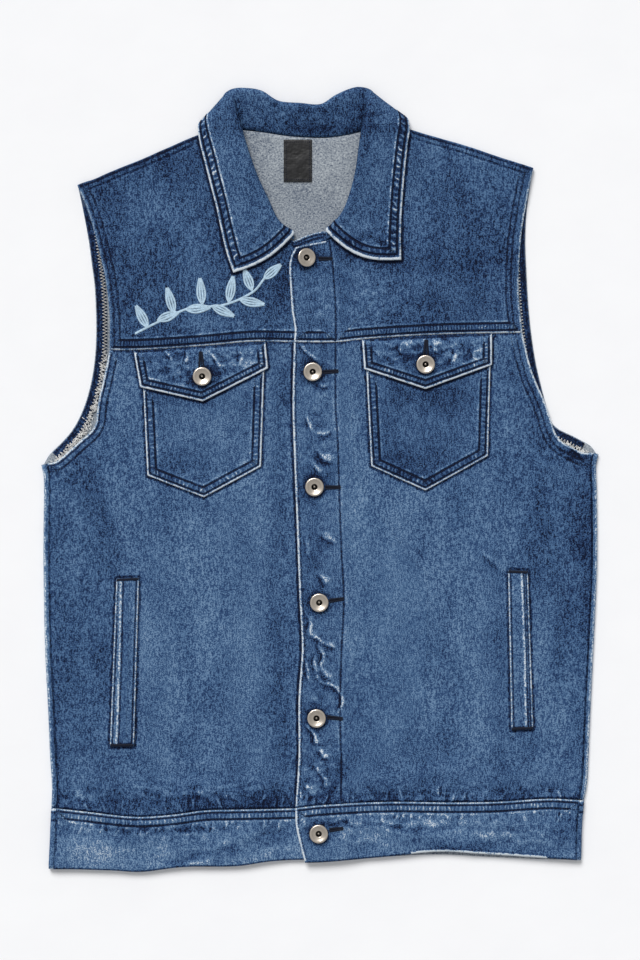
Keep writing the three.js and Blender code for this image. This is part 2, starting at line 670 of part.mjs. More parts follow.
function makeFrontWaistbands() {
  const right = offset(rightBandFold, -(WRAP_RIGHT + SEAM_GAP));
  const left = offset(leftBandFold, WRAP_LEFT + SEAM_GAP);
  const waistRight = seamBelow(WAIST_RIGHT);
  const outlineRight = patch(
    between(right(0), HEM_RIGHT, HEM_RIGHT.at(-1)),
    between(right(1), waistRight, waistRight.at(-1)),
    right,
    line(HEM_RIGHT.at(-1), waistRight.at(-1)),
  );
  const outlineLeft = patch(
    between(EDGE_BAND[0], HEM_LEFT, left(0)),
    between(EDGE_BAND.at(-1), seamBelow(WAIST_LEFT), left(1)),
    smoothCurve(EDGE_BAND),
    left,
  );
  const rise = shares(4);
  place("front_right_waistband", layer(outlineRight, RIGHT_STEPS, rise, BAND_CLOTH, underRight), denim);
  place("front_left_waistband", layer(outlineLeft, LEFT_STEPS, rise, BAND_CLOTH, underLeft), denim);
}

// Pockets, flaps, welts, facings and label

// How far a flap stands off the panel: over the pocket's cloth, but close to it at the yoke seam.
function flapRest(topOf, { top }) {
  const [[x0, y0], [x1, y1]] = top;
  const full = REST_GAP + POCKET_CLOTH + REST_GAP;
  return (x, y) => {
    const below = mix(y0, y1, (x - x0) / (x1 - x0)) - y;
    return topOf(x, y) + mix(REST_GAP, full, ease(below / FLAP_SPRING));
  };
}

function makeChestPocket(side, pocket, flap, topOf) {
  const on = (x, y) => topOf(x, y) + REST_GAP;
  const top = flap.top.map(([, y], i) => [pocket.mouth[i], y - POCKET_TUCK]);
  const outline = pointed({ ...pocket, top });
  place(`chest_pocket_${side}`, layer(outline, shares(6), shares(7), POCKET_CLOTH, on), denim);
  const rise = runs([3, 0.72], [4, 1]); // closest where the flap climbs off its seam
  const flapOn = flapRest(topOf, flap);
  place(`pocket_flap_${side}`, layer(pointed(flap), shares(8), rise, FLAP_CLOTH, flapOn), denim);
}

function makeWelt(side, welt, topOf) {
  const on = (x, y) => topOf(x, y) + REST_GAP;
  place(`side_welt_${side}`, layer(plain(welt), shares(2), shares(10), WELT_CLOTH, on), denim);
}

// The turned and overlocked strip inside the back's armhole, which shows past the front's.
function makeFacing(side, armhole, inward) {
  const edge = smoothCurve(armhole);
  const outer = offset(edge, inward * FACING_INSET);
  const inner = offset(edge, inward * (FACING_INSET + FACING_WIDTH));
  const strip = (u, v) => {
    const along = mix(FACING_FROM, FACING_TO, v);
    return line(outer(along), inner(along))(inward < 0 ? u : 1 - u);
  };
  const on = (x, y) => backTop(x, y) + SEAM_GAP;
  place(`armhole_facing_${side}`, layer(strip, shares(1), shares(22), FACING_CLOTH, on), insideDenim);
}

function makeNeckLabel() {
  const on = (x, y) => backTop(x, y) + SEAM_GAP;
  place("neck_label", layer(plain(LABEL), shares(2), shares(4), LABEL_CLOTH, on), satin);
}

// Collar

// The level unit direction from one point to another.
function towards([ax, ay], [bx, by]) {
  const length = Math.hypot(bx - ax, by - ay);
  return [(bx - ax) / length, (by - ay) / length];
}

// The middle line of one collar section: up the stand, round the roll and out along the leaf.
function collarSection([nx, ny, fx, fy, ex, ey, turn, roll, bow], onRight) {
  const restsOn = onRight ? underRight : underLeft;
  const [ux, uy] = towards([nx, ny], [fx, fy]);
  const side = onRight ? 1 : -1;
  const sine = Math.sin(THREE.MathUtils.degToRad(clamp(turn, -90, 90)));
  const cosine = Math.sqrt(1 - sine * sine);
  const onTop = (1 + sine) / 2;
  const floor = LEAF_FLOOR + COLLAR_CLOTH / 2;
  const seamFront = restsOn(nx, ny) + CLOTH / 2;
  const seamBack = backLift(nx, ny) + CLOTH / 2;
  const seamZ = mix(seamBack, seamFront, onTop) + SEAM_GAP;
  const centre = [fx - ux * roll, fy - uy * roll, mix(floor, seamFront + SEAM_GAP, onTop) + roll];
  const spin = [-side * uy * cosine, side * ux * cosine, sine];
  const standEnd = centre.map((value, k) => value - spin[k] * roll);
  const leafStart = centre.map((value, k) => value + spin[k] * roll);
  const lift = ease((sine + 0.6) / 1.45);
  const [lx, ly] = towards(leafStart, [ex, ey]);

  const stand = (s) => {
    const start = [nx + ux * REST_GAP, ny + uy * REST_GAP, seamZ];
    const [x, y] = line(start, standEnd)(s);
    return [x, y, mix(start[2], standEnd[2], s ** 0.8)];
  };
  const round = (s) => {
    const angle = Math.PI * s;
    const out = roll * Math.sin(angle);
    const over = -roll * Math.cos(angle);
    const outward = [ux, uy, 0];
    return centre.map((value, k) => value + outward[k] * out + spin[k] * over);
  };
  const rest = (x, y) => mix(floor, restsOn(x, y) + CLOTH + COLLAR_REST + COLLAR_CLOTH / 2, lift);
  const leaf = (s) => {
    const sag = bow * Math.sin(Math.PI * s);
    const x = mix(leafStart[0], ex, s) - side * ly * sag;
    const y = mix(leafStart[1], ey, s) + side * lx * sag;
    const start = leafStart[2] - rest(leafStart[0], leafStart[1]);
    return [x, y, rest(x, y) + start * (1 - s) ** 1.6];
  };
  return { stand, round, leaf };
}

function makeCollar() {
  const meanApart = (a, b) =>
    [0, 2, 4].reduce((sum, k) => sum + distance(a.slice(k, k + 2), b.slice(k, k + 2)), 0) / 3;
  const rows = smoothCurve(COLLAR, meanApart);
  const standSteps = shares(3).slice(0, -1);
  const roundSteps = shares(4);
  const leafSteps = shares(5).slice(1);
  const across = [
    ...standSteps.map((s) => ["stand", s]),
    ...roundSteps.map((s) => ["round", s]),
    ...leafSteps.map((s) => ["leaf", s]),
  ];
  const sheet = new Sheet();
  const sections = new Map(shares(42).map((v) => [v, collarSection(rows(v), v < 0.5)]));
  sheet.grid(across, [...sections.keys()], ([stretch, s], v) => sections.get(v)[stretch](s));
  place("collar", sheet.wall(COLLAR_CLOTH), denim);
}

// Buttons

// Turned from radius and height: shank, rounded rim, dished face and the eye in its middle.
function buttonGeometry() {
  const profile = [
    [0, 0],
    [BUTTON_SHANK_RADIUS, 0],
    [BUTTON_SHANK_RADIUS, BUTTON_SHANK_HEIGHT],
    [BUTTON_RADIUS, BUTTON_SHANK_HEIGHT + 0.6],
    [BUTTON_RADIUS - 0.4, BUTTON_RIM_HEIGHT - 0.2],
    [BUTTON_RADIUS - 1.8, BUTTON_RIM_HEIGHT],
    [BUTTON_EYE_RADIUS + 0.3, BUTTON_DISH_HEIGHT],
    [BUTTON_EYE_RADIUS, BUTTON_DISH_HEIGHT - BUTTON_EYE_DEPTH],
    [0, BUTTON_DISH_HEIGHT - BUTTON_EYE_DEPTH],
  ];
  const geometry = new THREE.LatheGeometry(profile.map(([r, z]) => new THREE.Vector2(r, z)), BUTTON_SIDES);
  return geometry.rotateX(Math.PI / 2);
}

function makeButton(name, [x, y], clothTop, tilt = 0) {
  const button = place(name, buttonGeometry(), nickel);
  button.rotation.y = tilt;
  button.position.set(x, y, clothTop + SEAM_GAP + BUTTON_SHANK_RADIUS * Math.sin(Math.abs(tilt)));
  return button;
}

function makeButtons() {
  FRONT_BUTTONS.forEach(([x, y], i) => {
    const thickness = y < waistHeight(x) ? BAND_CLOTH : CLOTH;
    const tilt = i === 0 ? TOP_BUTTON_TILT : 0;
    makeButton(`front_button_${i + 1}`, [x, y], underLeft(x, y) + thickness, tilt);
  });
  const onFlap = REST_GAP + POCKET_CLOTH + REST_GAP + FLAP_CLOTH;
  makeButton("pocket_button_right", POCKET_BUTTON_RIGHT, topRight(...POCKET_BUTTON_RIGHT) + onFlap);
  makeButton("pocket_button_left", POCKET_BUTTON_LEFT, topLeft(...POCKET_BUTTON_LEFT) + onFlap);
}

makeBackPanel();
makeBackWaistband();
makeRightPanel();
makeLeftPanel();
makeRightYoke();
makeLeftYoke();
makeFrontWaistbands();
makeChestPocket("right", POCKET_RIGHT, FLAP_RIGHT, topRight);
makeChestPocket("left", POCKET_LEFT, FLAP_LEFT, topLeft);
makeWelt("right", WELT_RIGHT, topRight);
makeWelt("left", WELT_LEFT, topLeft);
makeFacing("right", BACK_ARMHOLE_RIGHT, -1);
makeFacing("left", BACK_ARMHOLE_LEFT, 1);
makeNeckLabel();
makeCollar();
makeButtons();

export default vest;
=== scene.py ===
"""The looks of a sleeveless denim vest that lies flat on its back, buttoned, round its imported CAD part.

Sizes are millimetres in the part's own frame, until a mesh is made. +Y runs from the hem to the collar,
+X towards the wearer's left, and right and left are the wearer's.
"""

import logging
import math
from dataclasses import dataclass, field
from enum import Enum
from typing import Callable, Sequence

import bpy
import numpy as np
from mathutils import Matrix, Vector


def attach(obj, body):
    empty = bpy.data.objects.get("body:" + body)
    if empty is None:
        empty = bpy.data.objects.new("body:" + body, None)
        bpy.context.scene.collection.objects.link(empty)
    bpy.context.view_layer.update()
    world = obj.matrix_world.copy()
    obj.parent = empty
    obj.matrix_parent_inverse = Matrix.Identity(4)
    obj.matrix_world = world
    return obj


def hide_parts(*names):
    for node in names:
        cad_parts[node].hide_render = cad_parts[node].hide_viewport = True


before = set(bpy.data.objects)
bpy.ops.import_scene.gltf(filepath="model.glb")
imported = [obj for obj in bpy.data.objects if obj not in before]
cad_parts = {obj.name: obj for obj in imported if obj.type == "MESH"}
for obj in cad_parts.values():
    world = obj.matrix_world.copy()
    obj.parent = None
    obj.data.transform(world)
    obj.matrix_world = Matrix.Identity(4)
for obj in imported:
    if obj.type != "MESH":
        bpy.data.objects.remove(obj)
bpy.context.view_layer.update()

Array = np.ndarray
Rows = tuple[tuple[float, ...], ...]
Curve = Callable[[Array], Array]
Height = Callable[[Array, Array], Array]
Material = bpy.types.Material
Object = bpy.types.Object

log = logging.getLogger("vest")

CLOTH = 1.2
BAND_CLOTH = 2.2
COLLAR_CLOTH = 1.8
FLAP_CLOTH = 1.8
POCKET_CLOTH = 1.2
WELT_CLOTH = 1.6
FACING_CLOTH = 1.0
LABEL_CLOTH = 1.0
SEAM_GAP = 0.3
REST_GAP = 0.4


# Numbers, curves and patches


def ease(t: Array) -> Array:
    """Rises from 0 to 1 with level ends: three t squared less two t cubed, held to that range."""
    c = np.clip(t, 0.0, 1.0)
    return c * c * (3 - 2 * c)


def mix(a: Array, b: Array, t: Array) -> Array:
    """The value a share t of the way from a to b."""
    return a + (b - a) * t


def unit(vectors: Array) -> Array:
    """The vectors made one long; one of no length stays as it is."""
    return vectors / np.maximum(np.linalg.norm(vectors, axis=-1, keepdims=True), 1e-9)


def leftward(ahead: Array) -> Array:
    """Directions in x and y turned a quarter to the left."""
    return np.stack([-ahead[..., 1], ahead[..., 0]], -1)


def travelled(path: Array) -> Array:
    """The length from a path's start to each of its points."""
    return np.concatenate([[0.0], np.cumsum(np.linalg.norm(np.diff(path, axis=0), axis=1))])


def beside(x: Array, y: Array, line: Sequence[float], past: float = 0.0) -> tuple[Array, Array, Array]:
    """Where points lie beside a straight line.

    Args:
        x: Of the points.
        y: Of the points.
        line: x and y of its start, then of its end.
        past: The share of its length by which it reaches past both ends.

    Returns:
        The share along it, the distance from it, and the distance square to it, plus on its right.
    """
    x0, y0, x1, y1 = line
    along = ((x - x0) * (x1 - x0) + (y - y0) * (y1 - y0)) / ((x1 - x0) ** 2 + (y1 - y0) ** 2)
    near = np.clip(along, -past, 1 + past)
    away = np.hypot(x - mix(x0, x1, near), y - mix(y0, y1, near))
    square = ((x - x0) * (y1 - y0) - (y - y0) * (x1 - x0)) / math.hypot(x1 - x0, y1 - y0)
    return along, away, square


def steps(*runs: tuple[int, float]) -> Array:
    """Shares from 0 up, in runs of even steps.

    Args:
        runs: For each run its number of steps and the share it ends at.

    Returns:
        All the shares, the first 0.
    """
    shares, start = [np.zeros(1)], 0.0
    for count, end in runs:
        shares.append(np.linspace(start, end, count + 1)[1:])
        start = end
    return np.concatenate(shares)


def smooth_curve(rows: Sequence[Sequence[float]], apart: Array | None = None) -> Curve:
    """A cubic Hermite curve through rows of numbers, spaced by their distances.

    Args:
        rows: The points, one a row.
        apart: The spacing between them, if it isn't their distance.

    Returns:
        The curve as a function of shares 0 to 1.
    """
    table = np.asarray(rows, float)
    at = travelled(table) if apart is None else np.concatenate([[0.0], np.cumsum(apart)])
    number = np.arange(len(table))
    before, after = np.maximum(number - 1, 0), np.minimum(number + 1, len(table) - 1)
    slopes = (table[after] - table[before]) / (at[after] - at[before])[:, None]

    def curve(t: Array) -> Array:
        """Points at shares t."""
        s = np.clip(np.asarray(t, float), 0, 1) * at[-1]
        i = np.searchsorted(at[1:-1], s, side="left")
        span = at[i + 1] - at[i]
        p = (s - at[i]) / span
        start = (2 * p**3 - 3 * p**2 + 1)[..., None]
        leave = ((p**3 - 2 * p**2 + p) * span)[..., None]
        arrive = ((p**3 - p**2) * span)[..., None]
        return start * table[i] + (1 - start) * table[i + 1] + leave * slopes[i] + arrive * slopes[i + 1]

    return curve


def straight(a: Sequence[float], b: Sequence[float]) -> Curve:
    """The straight line from a to b."""
    first, last = np.asarray(a, float), np.asarray(b, float)
    return lambda t: first + (last - first) * np.asarray(t, float)[..., None]


def backwards(curve: Curve) -> Curve:
    """The same curve from its other end."""
    return lambda t: curve(1 - np.asarray(t, float))


def raised(rows: Rows, rise: float) -> list[tuple[float, float]]:
    """The rows moved up the garment by rise."""
    return [(x, y + rise) for x, y in rows]


def between(start: Sequence[float], rows: Sequence[Sequence[float]], end: Sequence[float]) -> Curve:
    """A smooth curve through the rows with its ends moved onto start and end."""
    return smooth_curve([tuple(start), *[tuple(row) for row in rows[1:-1]], tuple(end)])


def chain(curves: Sequence[Curve], joints: Sequence[float]) -> Curve:
    """Curves end to end.

    Args:
        curves: The curves in order.
        joints: The shares at which one hands over to the next.

    Returns:
        One curve: each share is read on the curve whose stretch holds it.
    """
    stops = [0.0, *joints, 1.0]

    def curve(t: Array) -> Array:
        """Points at shares t."""
        t = np.asarray(t, float)
        made = curves[0]((t - stops[0]) / (stops[1] - stops[0]))
        for i in range(1, len(curves)):
            part = curves[i]((t - stops[i]) / (stops[i + 1] - stops[i]))
            made = np.where((t > stops[i])[..., None], part, made)
        return made

    return curve


def offset(curve: Curve, amount: float) -> Curve:
    """A curve moved square to its own direction.

    Args:
        curve: The curve.
        amount: How far it goes, plus to its left.

    Returns:
        The moved curve.
    """

    def moved(t: Array) -> Array:
        """Points at shares t."""
        t = np.clip(np.asarray(t, float), 0, 1)
        ahead = unit(curve(np.minimum(1, t + 0.01)) - curve(np.maximum(0, t - 0.01)))
        return curve(t) + amount * leftward(ahead)

    return moved


def patch(bottom: Curve, top: Curve, left: Curve, right: Curve, us: Array, vs: Array) -> Array:
    """A grid of points between four edges: the two ruled surfaces added, less the one through the corners.

    Args:
        bottom: The edge at v 0, in u.
        top: The edge at v 1, in u.
        left: The edge at u 0, in v.
        right: The edge at u 1, in v.
        us: Shares across.
        vs: Shares up.

    Returns:
        Points, rows by columns by x and y.
    """
    u, v = us[None, :, None], vs[:, None, None]
    both = mix(bottom(us)[None], top(us)[None], v) + mix(left(vs)[:, None], right(vs)[:, None], u)
    low = mix(bottom(np.zeros(1)), bottom(np.ones(1)), u)
    high = mix(top(np.zeros(1)), top(np.ones(1)), u)
    return both - mix(low, high, v)


def ruled(low: Rows, high: Rows, us: Array, vs: Array) -> Array:
    """A patch with four straight edges, from the two ends of its lower one and of its upper one."""
    sides = straight(low[0], high[0]), straight(low[1], high[1])
    return patch(straight(*low), straight(*high), *sides, us, vs)


def reached(points: Array, path: Array) -> tuple[Array, Array]:
    """Signed distance to a path and the length along it, for each point.

    The nearest segment gives both; the sign is plus on the left of the path's direction.

    Args:
        points: x and y, one point a row.
        path: The path's own points.

    Returns:
        The distances and the lengths.
    """
    start, ahead = path[:-1], np.diff(path, axis=0)
    length = np.linalg.norm(ahead, axis=1)
    best = np.full(len(points), 1e9)
    signed, along = np.zeros(len(points)), np.zeros(len(points))
    for a, d, size, before in zip(start, ahead, length, travelled(path)):
        from_a = points - a
        t = np.clip(from_a @ d / size**2, 0, 1)
        away = from_a - t[:, None] * d
        gap = np.hypot(away[:, 0], away[:, 1])
        side = np.sign(d[0] * from_a[:, 1] - d[1] * from_a[:, 0])
        near = gap < best
        best[near] = gap[near]
        signed[near] = (gap * np.where(side == 0, 1, side))[near]
        along[near] = (before + t * size)[near]
    return signed, along


def inset(path: Array, amount: float) -> Array:
    """A path moved to its left with mitred corners: each point goes along the mean of its two normals.

    Args:
        path: Points in x and y, one a row.
        amount: How far it goes.

    Returns:
        The moved points.
    """
    normal = leftward(unit(np.diff(path, axis=0)))
    before, after = np.vstack([normal[:1], normal]), np.vstack([normal, normal[-1:]])
    middle = before + after
    middle /= np.maximum((middle * after).sum(1, keepdims=True), 0.3)
    return path + amount * middle


def spaced(path: Array, pitch: float) -> Array:
    """Points at an even pitch along a path, half a pitch in from its ends.

    Args:
        path: Points of any dimension, one a row.
        pitch: The distance between the new ones.

    Returns:
        The new points, one a row.
    """
    at = travelled(path)
    wanted = np.arange(pitch / 2, at[-1], pitch)
    return np.stack([np.interp(wanted, at, column) for column in path.T], 1)


# The garment's cut and the heights of its layers


@dataclass(frozen=True)
class Cut:
    """The outlines that neighbouring pieces share, each row a point."""

    side_fold_right: Rows = (
        (-247.5, -302.5), (-246.9, -284), (-248.8, -254), (-250.4, -214), (-253.4, -154), (-254.8, -74),
        (-254.4, -19), (-254.6, 3), (-256.6, 13),
    )
    side_fold_left: Rows = (
        (243.7, -295.5), (246.6, -280), (248.4, -244), (250.6, -194), (253.6, -134), (256, -74),
        (255.6, -10), (255, 14), (257, 23),
    )
    band_fold_right: Rows = ((-250, -358.5), (-248.8, -334), (-247.5, -302.8))
    band_fold_left: Rows = ((241, -350.6), (241.8, -320), (243.7, -295.8))
    back_armhole_right: Rows = (
        (-254, 14), (-248.6, 23), (-238, 33.5), (-227.4, 46), (-219, 62), (-212.6, 81), (-208.5, 101),
        (-206.5, 120), (-206, 146), (-207.4, 178), (-210.2, 200), (-213, 221), (-216.8, 242), (-222.4, 269),
    )
    back_armhole_left: Rows = (
        (254.5, 24), (250.3, 30), (242, 35.2), (231.4, 40.7), (220.8, 45.8), (214, 52), (210.2, 62.7),
        (202.8, 91), (198.6, 110), (195, 134), (192.3, 160), (190.5, 192), (189.5, 218), (190.7, 247),
        (196.2, 284.6),
    )
    panel_armhole_right: Rows = (
        (-251, 11), (-242, 16.5), (-231.7, 25), (-220, 35.5), (-210.5, 44), (-206, 52), (-205, 62),
        (-203, 75), (-199, 92), (-193.5, 118.7),
    )
    panel_armhole_left: Rows = (
        (251.5, 21), (242, 24.5), (233.5, 28.5), (225, 33), (218.7, 39.5), (215, 47.5), (211, 60.6),
        (205, 76.5), (197.5, 93.4), (192.3, 110), (186.7, 134.6),
    )
    yoke_armhole_right: Rows = (
        (-193.4, 119.1), (-193.2, 136), (-193.5, 153), (-196.6, 181), (-202.6, 209), (-208.6, 232),
        (-214, 249), (-221.4, 269.4),
    )
    yoke_armhole_left: Rows = (
        (186.6, 135), (183.7, 162), (183, 181), (183.6, 200), (186, 228), (189.6, 250), (195.8, 284.8),
    )
    shoulder_right: Rows = (
        (-222.4, 269), (-206, 275), (-191.3, 281.5), (-165, 292), (-140.5, 302.7), (-120, 311.5),
        (-97, 320.5),
    )
    shoulder_left: Rows = (
        (196.2, 284.6), (179, 290.4), (162.6, 295.6), (138, 304), (113.3, 311.2), (88.6, 318.2), (64, 326),
    )
    neck_back: Rows = (
        (-97, 320.5), (-85, 321.6), (-72, 321.5), (-50, 319), (-30, 316), (-10, 314.5), (9, 314.5),
        (26, 317), (45, 321.5), (64, 326),
    )
    neck_right: Rows = (
        (-97, 320.5), (-92.5, 303), (-85, 286), (-75, 268), (-62, 250), (-48, 232), (-36, 223),
        (-23.5, 219.5),
    )
    neck_right_tab: Rows = ((-23.5, 219.5), (-10, 225), (2, 228), (14, 228.5))
    neck_left_tab: Rows = ((-22, 213.4), (-10, 216.2), (5, 219))
    neck_left: Rows = (
        (5, 219), (20, 225), (34, 236), (46, 255), (54, 275), (59, 291), (62.5, 308), (64, 326),
    )
    edge_band: Rows = ((-13.3, -352.6), (-17.5, -338), (-21.8, -318), (-22.2, -302.6))
    edge_panel: Rows = (
        (-22.2, -302.2), (-21, -284), (-19.3, -254), (-19.3, -202), (-16.3, -160), (-16.5, -144),
        (-18.5, -108), (-21.3, -34), (-23.8, 31), (-24.8, 64), (-24.4, 97), (-23.6, 126),
    )
    edge_yoke: Rows = (
        (-23.6, 126.3), (-22.8, 138), (-25.4, 154), (-27, 178), (-27.8, 192), (-26.6, 204), (-22, 213.4),
    )
    hem_back: Rows = (
        (-250, -358.5), (-164, -360.5), (-126, -356.2), (-60, -353), (-18, -350.4), (20, -350.6),
        (62, -347.8), (109, -345.6), (151, -347.6), (207, -350.2), (241, -350.6),
    )
    hem_right: Rows = (
        (-250, -358.5), (-226, -358.8), (-190, -360), (-164, -361.2), (-126, -356.8), (-76, -355.9),
        (-46, -351.7), (-18, -350.3), (14, -350.5),
    )
    hem_left: Rows = (
        (-13.3, -352.6), (2, -352.2), (30, -350), (62, -347.2), (109.6, -342.6), (151, -344.8),
        (207, -348.5), (241, -350.6),
    )
    waist_right: Rows = (
        (-247.5, -302.7), (-216, -305.8), (-170, -310.6), (-136, -308.8), (-106, -304.8), (-76, -304),
        (-22, -303), (14, -302),
    )
    waist_left: Rows = (
        (-22.2, -302.4), (2, -299.7), (62, -296.9), (121, -297.4), (161, -296.9), (211, -294),
        (243.7, -295.7),
    )
    yoke_seam_right: Rows = (
        (-193.4, 118.9), (-165, 119), (-107.5, 122.6), (-61.5, 126.6), (-24, 126.2), (14, 126),
    )
    yoke_seam_left: Rows = (
        (-23.6, 126.2), (15.6, 126.2), (38, 128.6), (76, 131.4), (113, 133.3), (186.6, 134.8),
    )
    placket_line: Rows = (
        (19.8, -302), (19.8, -290), (19.8, -254), (18.7, -214), (19.8, -164), (22.3, -111), (20.3, -69.5),
        (18.5, -22.5), (16.7, 33.9), (14.7, 71.4), (14.7, 153.8), (12.2, 194.8), (9, 219),
    )
    wrap_right: float = 5.0
    wrap_left: float = 4.4


@dataclass(frozen=True)
class Folds:
    """The body's large soft folds, each row a ridge: x0, y0, x1, y1, width, rise."""

    rows: Rows = (
        (-205, -282, -120, -288, 12, 0.8), (-120, -288, -44, -285, 13, 0.9), (34, -281, 110, -278, 13, 0.9),
        (110, -278, 221, -274, 12, 0.8), (-98, -343, -56, -322, 10, 0.9), (-236, -341, -158, -327, 12, 0.8),
        (40, -316, 138, -337, 11, 1.0), (150, -312, 232, -328, 12, 0.8), (-240, 0, -206, -20, 9, 0.8),
        (214, 14, 240, -4, 9, 0.8), (-74, -40, -64, -262, 30, 0.7), (74, -38, 68, -256, 30, 0.7),
        (-152, -76, -150, -256, 15, 0.6), (158, -74, 163, -246, 13, 0.7), (-110, 196, -60, 158, 18, 0.5),
        (96, 196, 128, 158, 22, 0.5),
    )

    def rise(self, x: Array, y: Array) -> Array:
        """The sum over the ridges of each one's rise times a bell of the distance from its line.

        Args:
            x: Of the points.
            y: Of the points.

        Returns:
            How far the folds lift the cloth there.
        """
        total = np.zeros(np.broadcast(x, y).shape)
        for *line, width, rise in self.rows:
            total += rise * np.exp(-((beside(x, y, line)[1] / width) ** 2))
        return total


@dataclass(frozen=True)
class Lay:
    """How high each layer lies over the floor."""

    cut: Cut
    folds: Folds = Folds()
    body_gap: float = 2.3
    least_gap: float = 1.7
    most_gap: float = 3.4
    lap_gap: float = 1.0
    sway: float = 0.25
    band_climb: float = 7.0
    lap_climb: float = 26.0

    def waist(self, x: Array) -> Array:
        """The back's waist seam, a straight line from fold to fold."""
        return mix(-302.65, -295.65, (x + 247.5) / 491.2)

    def band_step(self, x: Array, y: Array) -> Array:
        """How much thicker the doubled band is than the cloth, reached just above the waist seam."""
        rise = ease((self.waist(x) - y + self.band_climb + 1) / self.band_climb)
        return (BAND_CLOTH - CLOTH) * rise

    def back_lift(self, x: Array, y: Array) -> Array:
        """How far the collar's leaf under the back of the neck lifts the cloth there."""
        spread = ease((y - 248) / 46) * ease((x + 140) / 36) * ease((112 - x) / 36)
        return (COLLAR_CLOTH + REST_GAP) * spread

    def back_top(self, x: Array, y: Array) -> Array:
        """The upper face of the back."""
        return self.back_lift(x, y) + CLOTH + self.band_step(x, y)

    def freedom(self, x: Array, y: Array) -> Array:
        """0 at the side folds and the lines of the shoulders, rising to 1 away from them."""
        lines = [(*rows[0], *rows[-1]) for rows in (self.cut.shoulder_right, self.cut.shoulder_left)]
        shoulder = np.minimum(*(np.abs(beside(x, y, line)[2]) for line in lines))
        return ease(shoulder / 24) * ease(np.minimum(x + 250, 248 - x) / 30)

    def gap(self, x: Array, y: Array) -> Array:
        """The space between back and fronts: even at the seams, with sway and folds away from them."""
        sway = self.sway * (np.sin(x / 31 + y / 57) * np.sin(y / 43 - x / 90) - 1)
        free = np.clip(self.body_gap + sway + self.folds.rise(x, y), self.least_gap, self.most_gap)
        return mix(self.body_gap, free, self.freedom(x, y))

    def under_right(self, x: Array, y: Array) -> Array:
        """The underside of the button front, which dips under the lap."""
        return self.back_top(x, y) + mix(self.gap(x, y), self.lap_gap, ease((x + 54) / self.lap_climb))

    def under_left(self, x: Array, y: Array) -> Array:
        """The underside of the buttonhole front, which climbs onto the lap."""
        lapped = self.lap_gap + CLOTH + self.band_step(x, y) + REST_GAP
        return self.back_top(x, y) + mix(lapped, self.gap(x, y), ease((x - 18) / self.lap_climb))

    def under(self, side: str) -> Height:
        """The underside of the front on one side."""
        return self.under_right if side == "right" else self.under_left


CUT = Cut()
LAY = Lay(CUT)


# Seams, creases and the fields that the finishes read


@dataclass(frozen=True)
class Seam:
    """A finished edge, a line of sewing or a painted shade line on a piece.

    Attributes:
        path: Its points, with the piece on the left where it is an edge.
        rows: Distances of its stitch rows.
        wear_and_shade: How pale its worn line is, up to 1.5; below 0 the line is painted shade instead.
        worn_at: Distance at which that line lies.
        rope: How strongly the cloth ropes between and beside its rows.
        pitch: Length of one rope turn.
        rise: How far the folded cloth between the rows stands up.
        pucker: How far the rope turns rise and sink.
        stitched: Whether thread shows on it.
    """

    path: Array
    rows: tuple[float, ...] = ()
    wear_and_shade: float = 0.0
    worn_at: float = 0.3
    rope: float = 0.0
    pitch: float = 2.8
    rise: float = 0.0
    pucker: float = 0.0
    stitched: bool = True


@dataclass(frozen=True)
class Crease:
    """Creases, each row x0, y0, x1, y1, width, rise, paleness."""

    rows: Rows

    def fields(self, xy: Array) -> tuple[Array, Array]:
        """Rise and paleness at points: a bell across each crease that fades out at its two ends.

        A second, darker bell of painted shade lies beside it, on the side away from the light.

        Args:
            xy: x and y, one point a row.

        Returns:
            The rises and the palenesses.
        """
        x, y = self.bent(xy)
        rise, pale = np.zeros(len(xy)), np.zeros(len(xy))
        for *line, width, height, paleness in self.rows:
            along, away, below = beside(x, y, line, 0.1)
            ends = self.faded(along, 0.1, 0.35)
            bell = np.exp(-((away / width) ** 2)) * ends
            # painted shade beside the crease, on the side away from the light
            dark = np.exp(-(((below - 1.5 * width) / (1.1 * width)) ** 2)) * ends
            rise += height * bell
            # a negative paleness also paints shade along the crease itself, in its hollow
            pale += 0.5 * paleness * bell**2 - 0.45 * abs(paleness) * dark
        return rise, pale

    def bent(self, xy: Array) -> tuple[Array, Array]:
        """The points moved by sines of each other's places, which makes straight creases wander."""
        bend = 2.0 * np.sin(xy[:, ::-1] / (6.0, 5.0) + (0.4, 1.9)) + 0.8 * np.sin(xy[:, ::-1] / (2.3, 2.6))
        x, y = (xy + bend).T
        return x, y

    def faded(self, along: Array, past: float, run: float) -> Array:
        """1 along a crease, easing to 0 over a run up to a share past its ends."""
        return ease((along + past) / run) * ease((1 + past - along) / run)

    def lines(self, xy: Array, least: float = 0.2, reach: float = 2.2) -> Array:
        """The nearest pale crease at each point, for a finish to draw as a fine line.

        Args:
            xy: x and y, one point a row.
            least: The paleness from which a crease is drawn.
            reach: How many of its widths it is known from.

        Returns:
            Its signed distance, its strength, which fades at its ends and away from it, and its width.
        """
        x, y = self.bent(xy)
        found = np.tile((99.0, 0.0, 1.0), (len(xy), 1))
        best = np.full(len(xy), reach)
        for *line, width, _, paleness in self.rows:
            if paleness < least:
                continue
            along, away, below = beside(x, y, line, 0.15)
            away = away / width
            strength = paleness * self.faded(along, 0.15, 0.3) * ease((reach - away) / 0.8)
            close = away < best
            found[close] = np.stack([below, strength, np.full(len(xy), width)], 1)[close]
            best = np.minimum(best, away)
        return found


@dataclass(frozen=True)
class Blobs:
    """Soft paler or darker areas, each row x, y, half width, half height, tone: the wash's uneven tone, and
    in some rows painted shade.
    """

    rows: Rows

    def tone(self, xy: Array) -> Array:
        """The sum of the areas' tones, each a bell over its own ellipse.

        Args:
            xy: x and y, one point a row.

        Returns:
            The tones.
        """
        total = np.zeros(len(xy))
        for x, y, across, up, tone in self.rows:
            total += tone * np.exp(-(((xy[:, 0] - x) / across) ** 2) - ((xy[:, 1] - y) / up) ** 2)
        return total
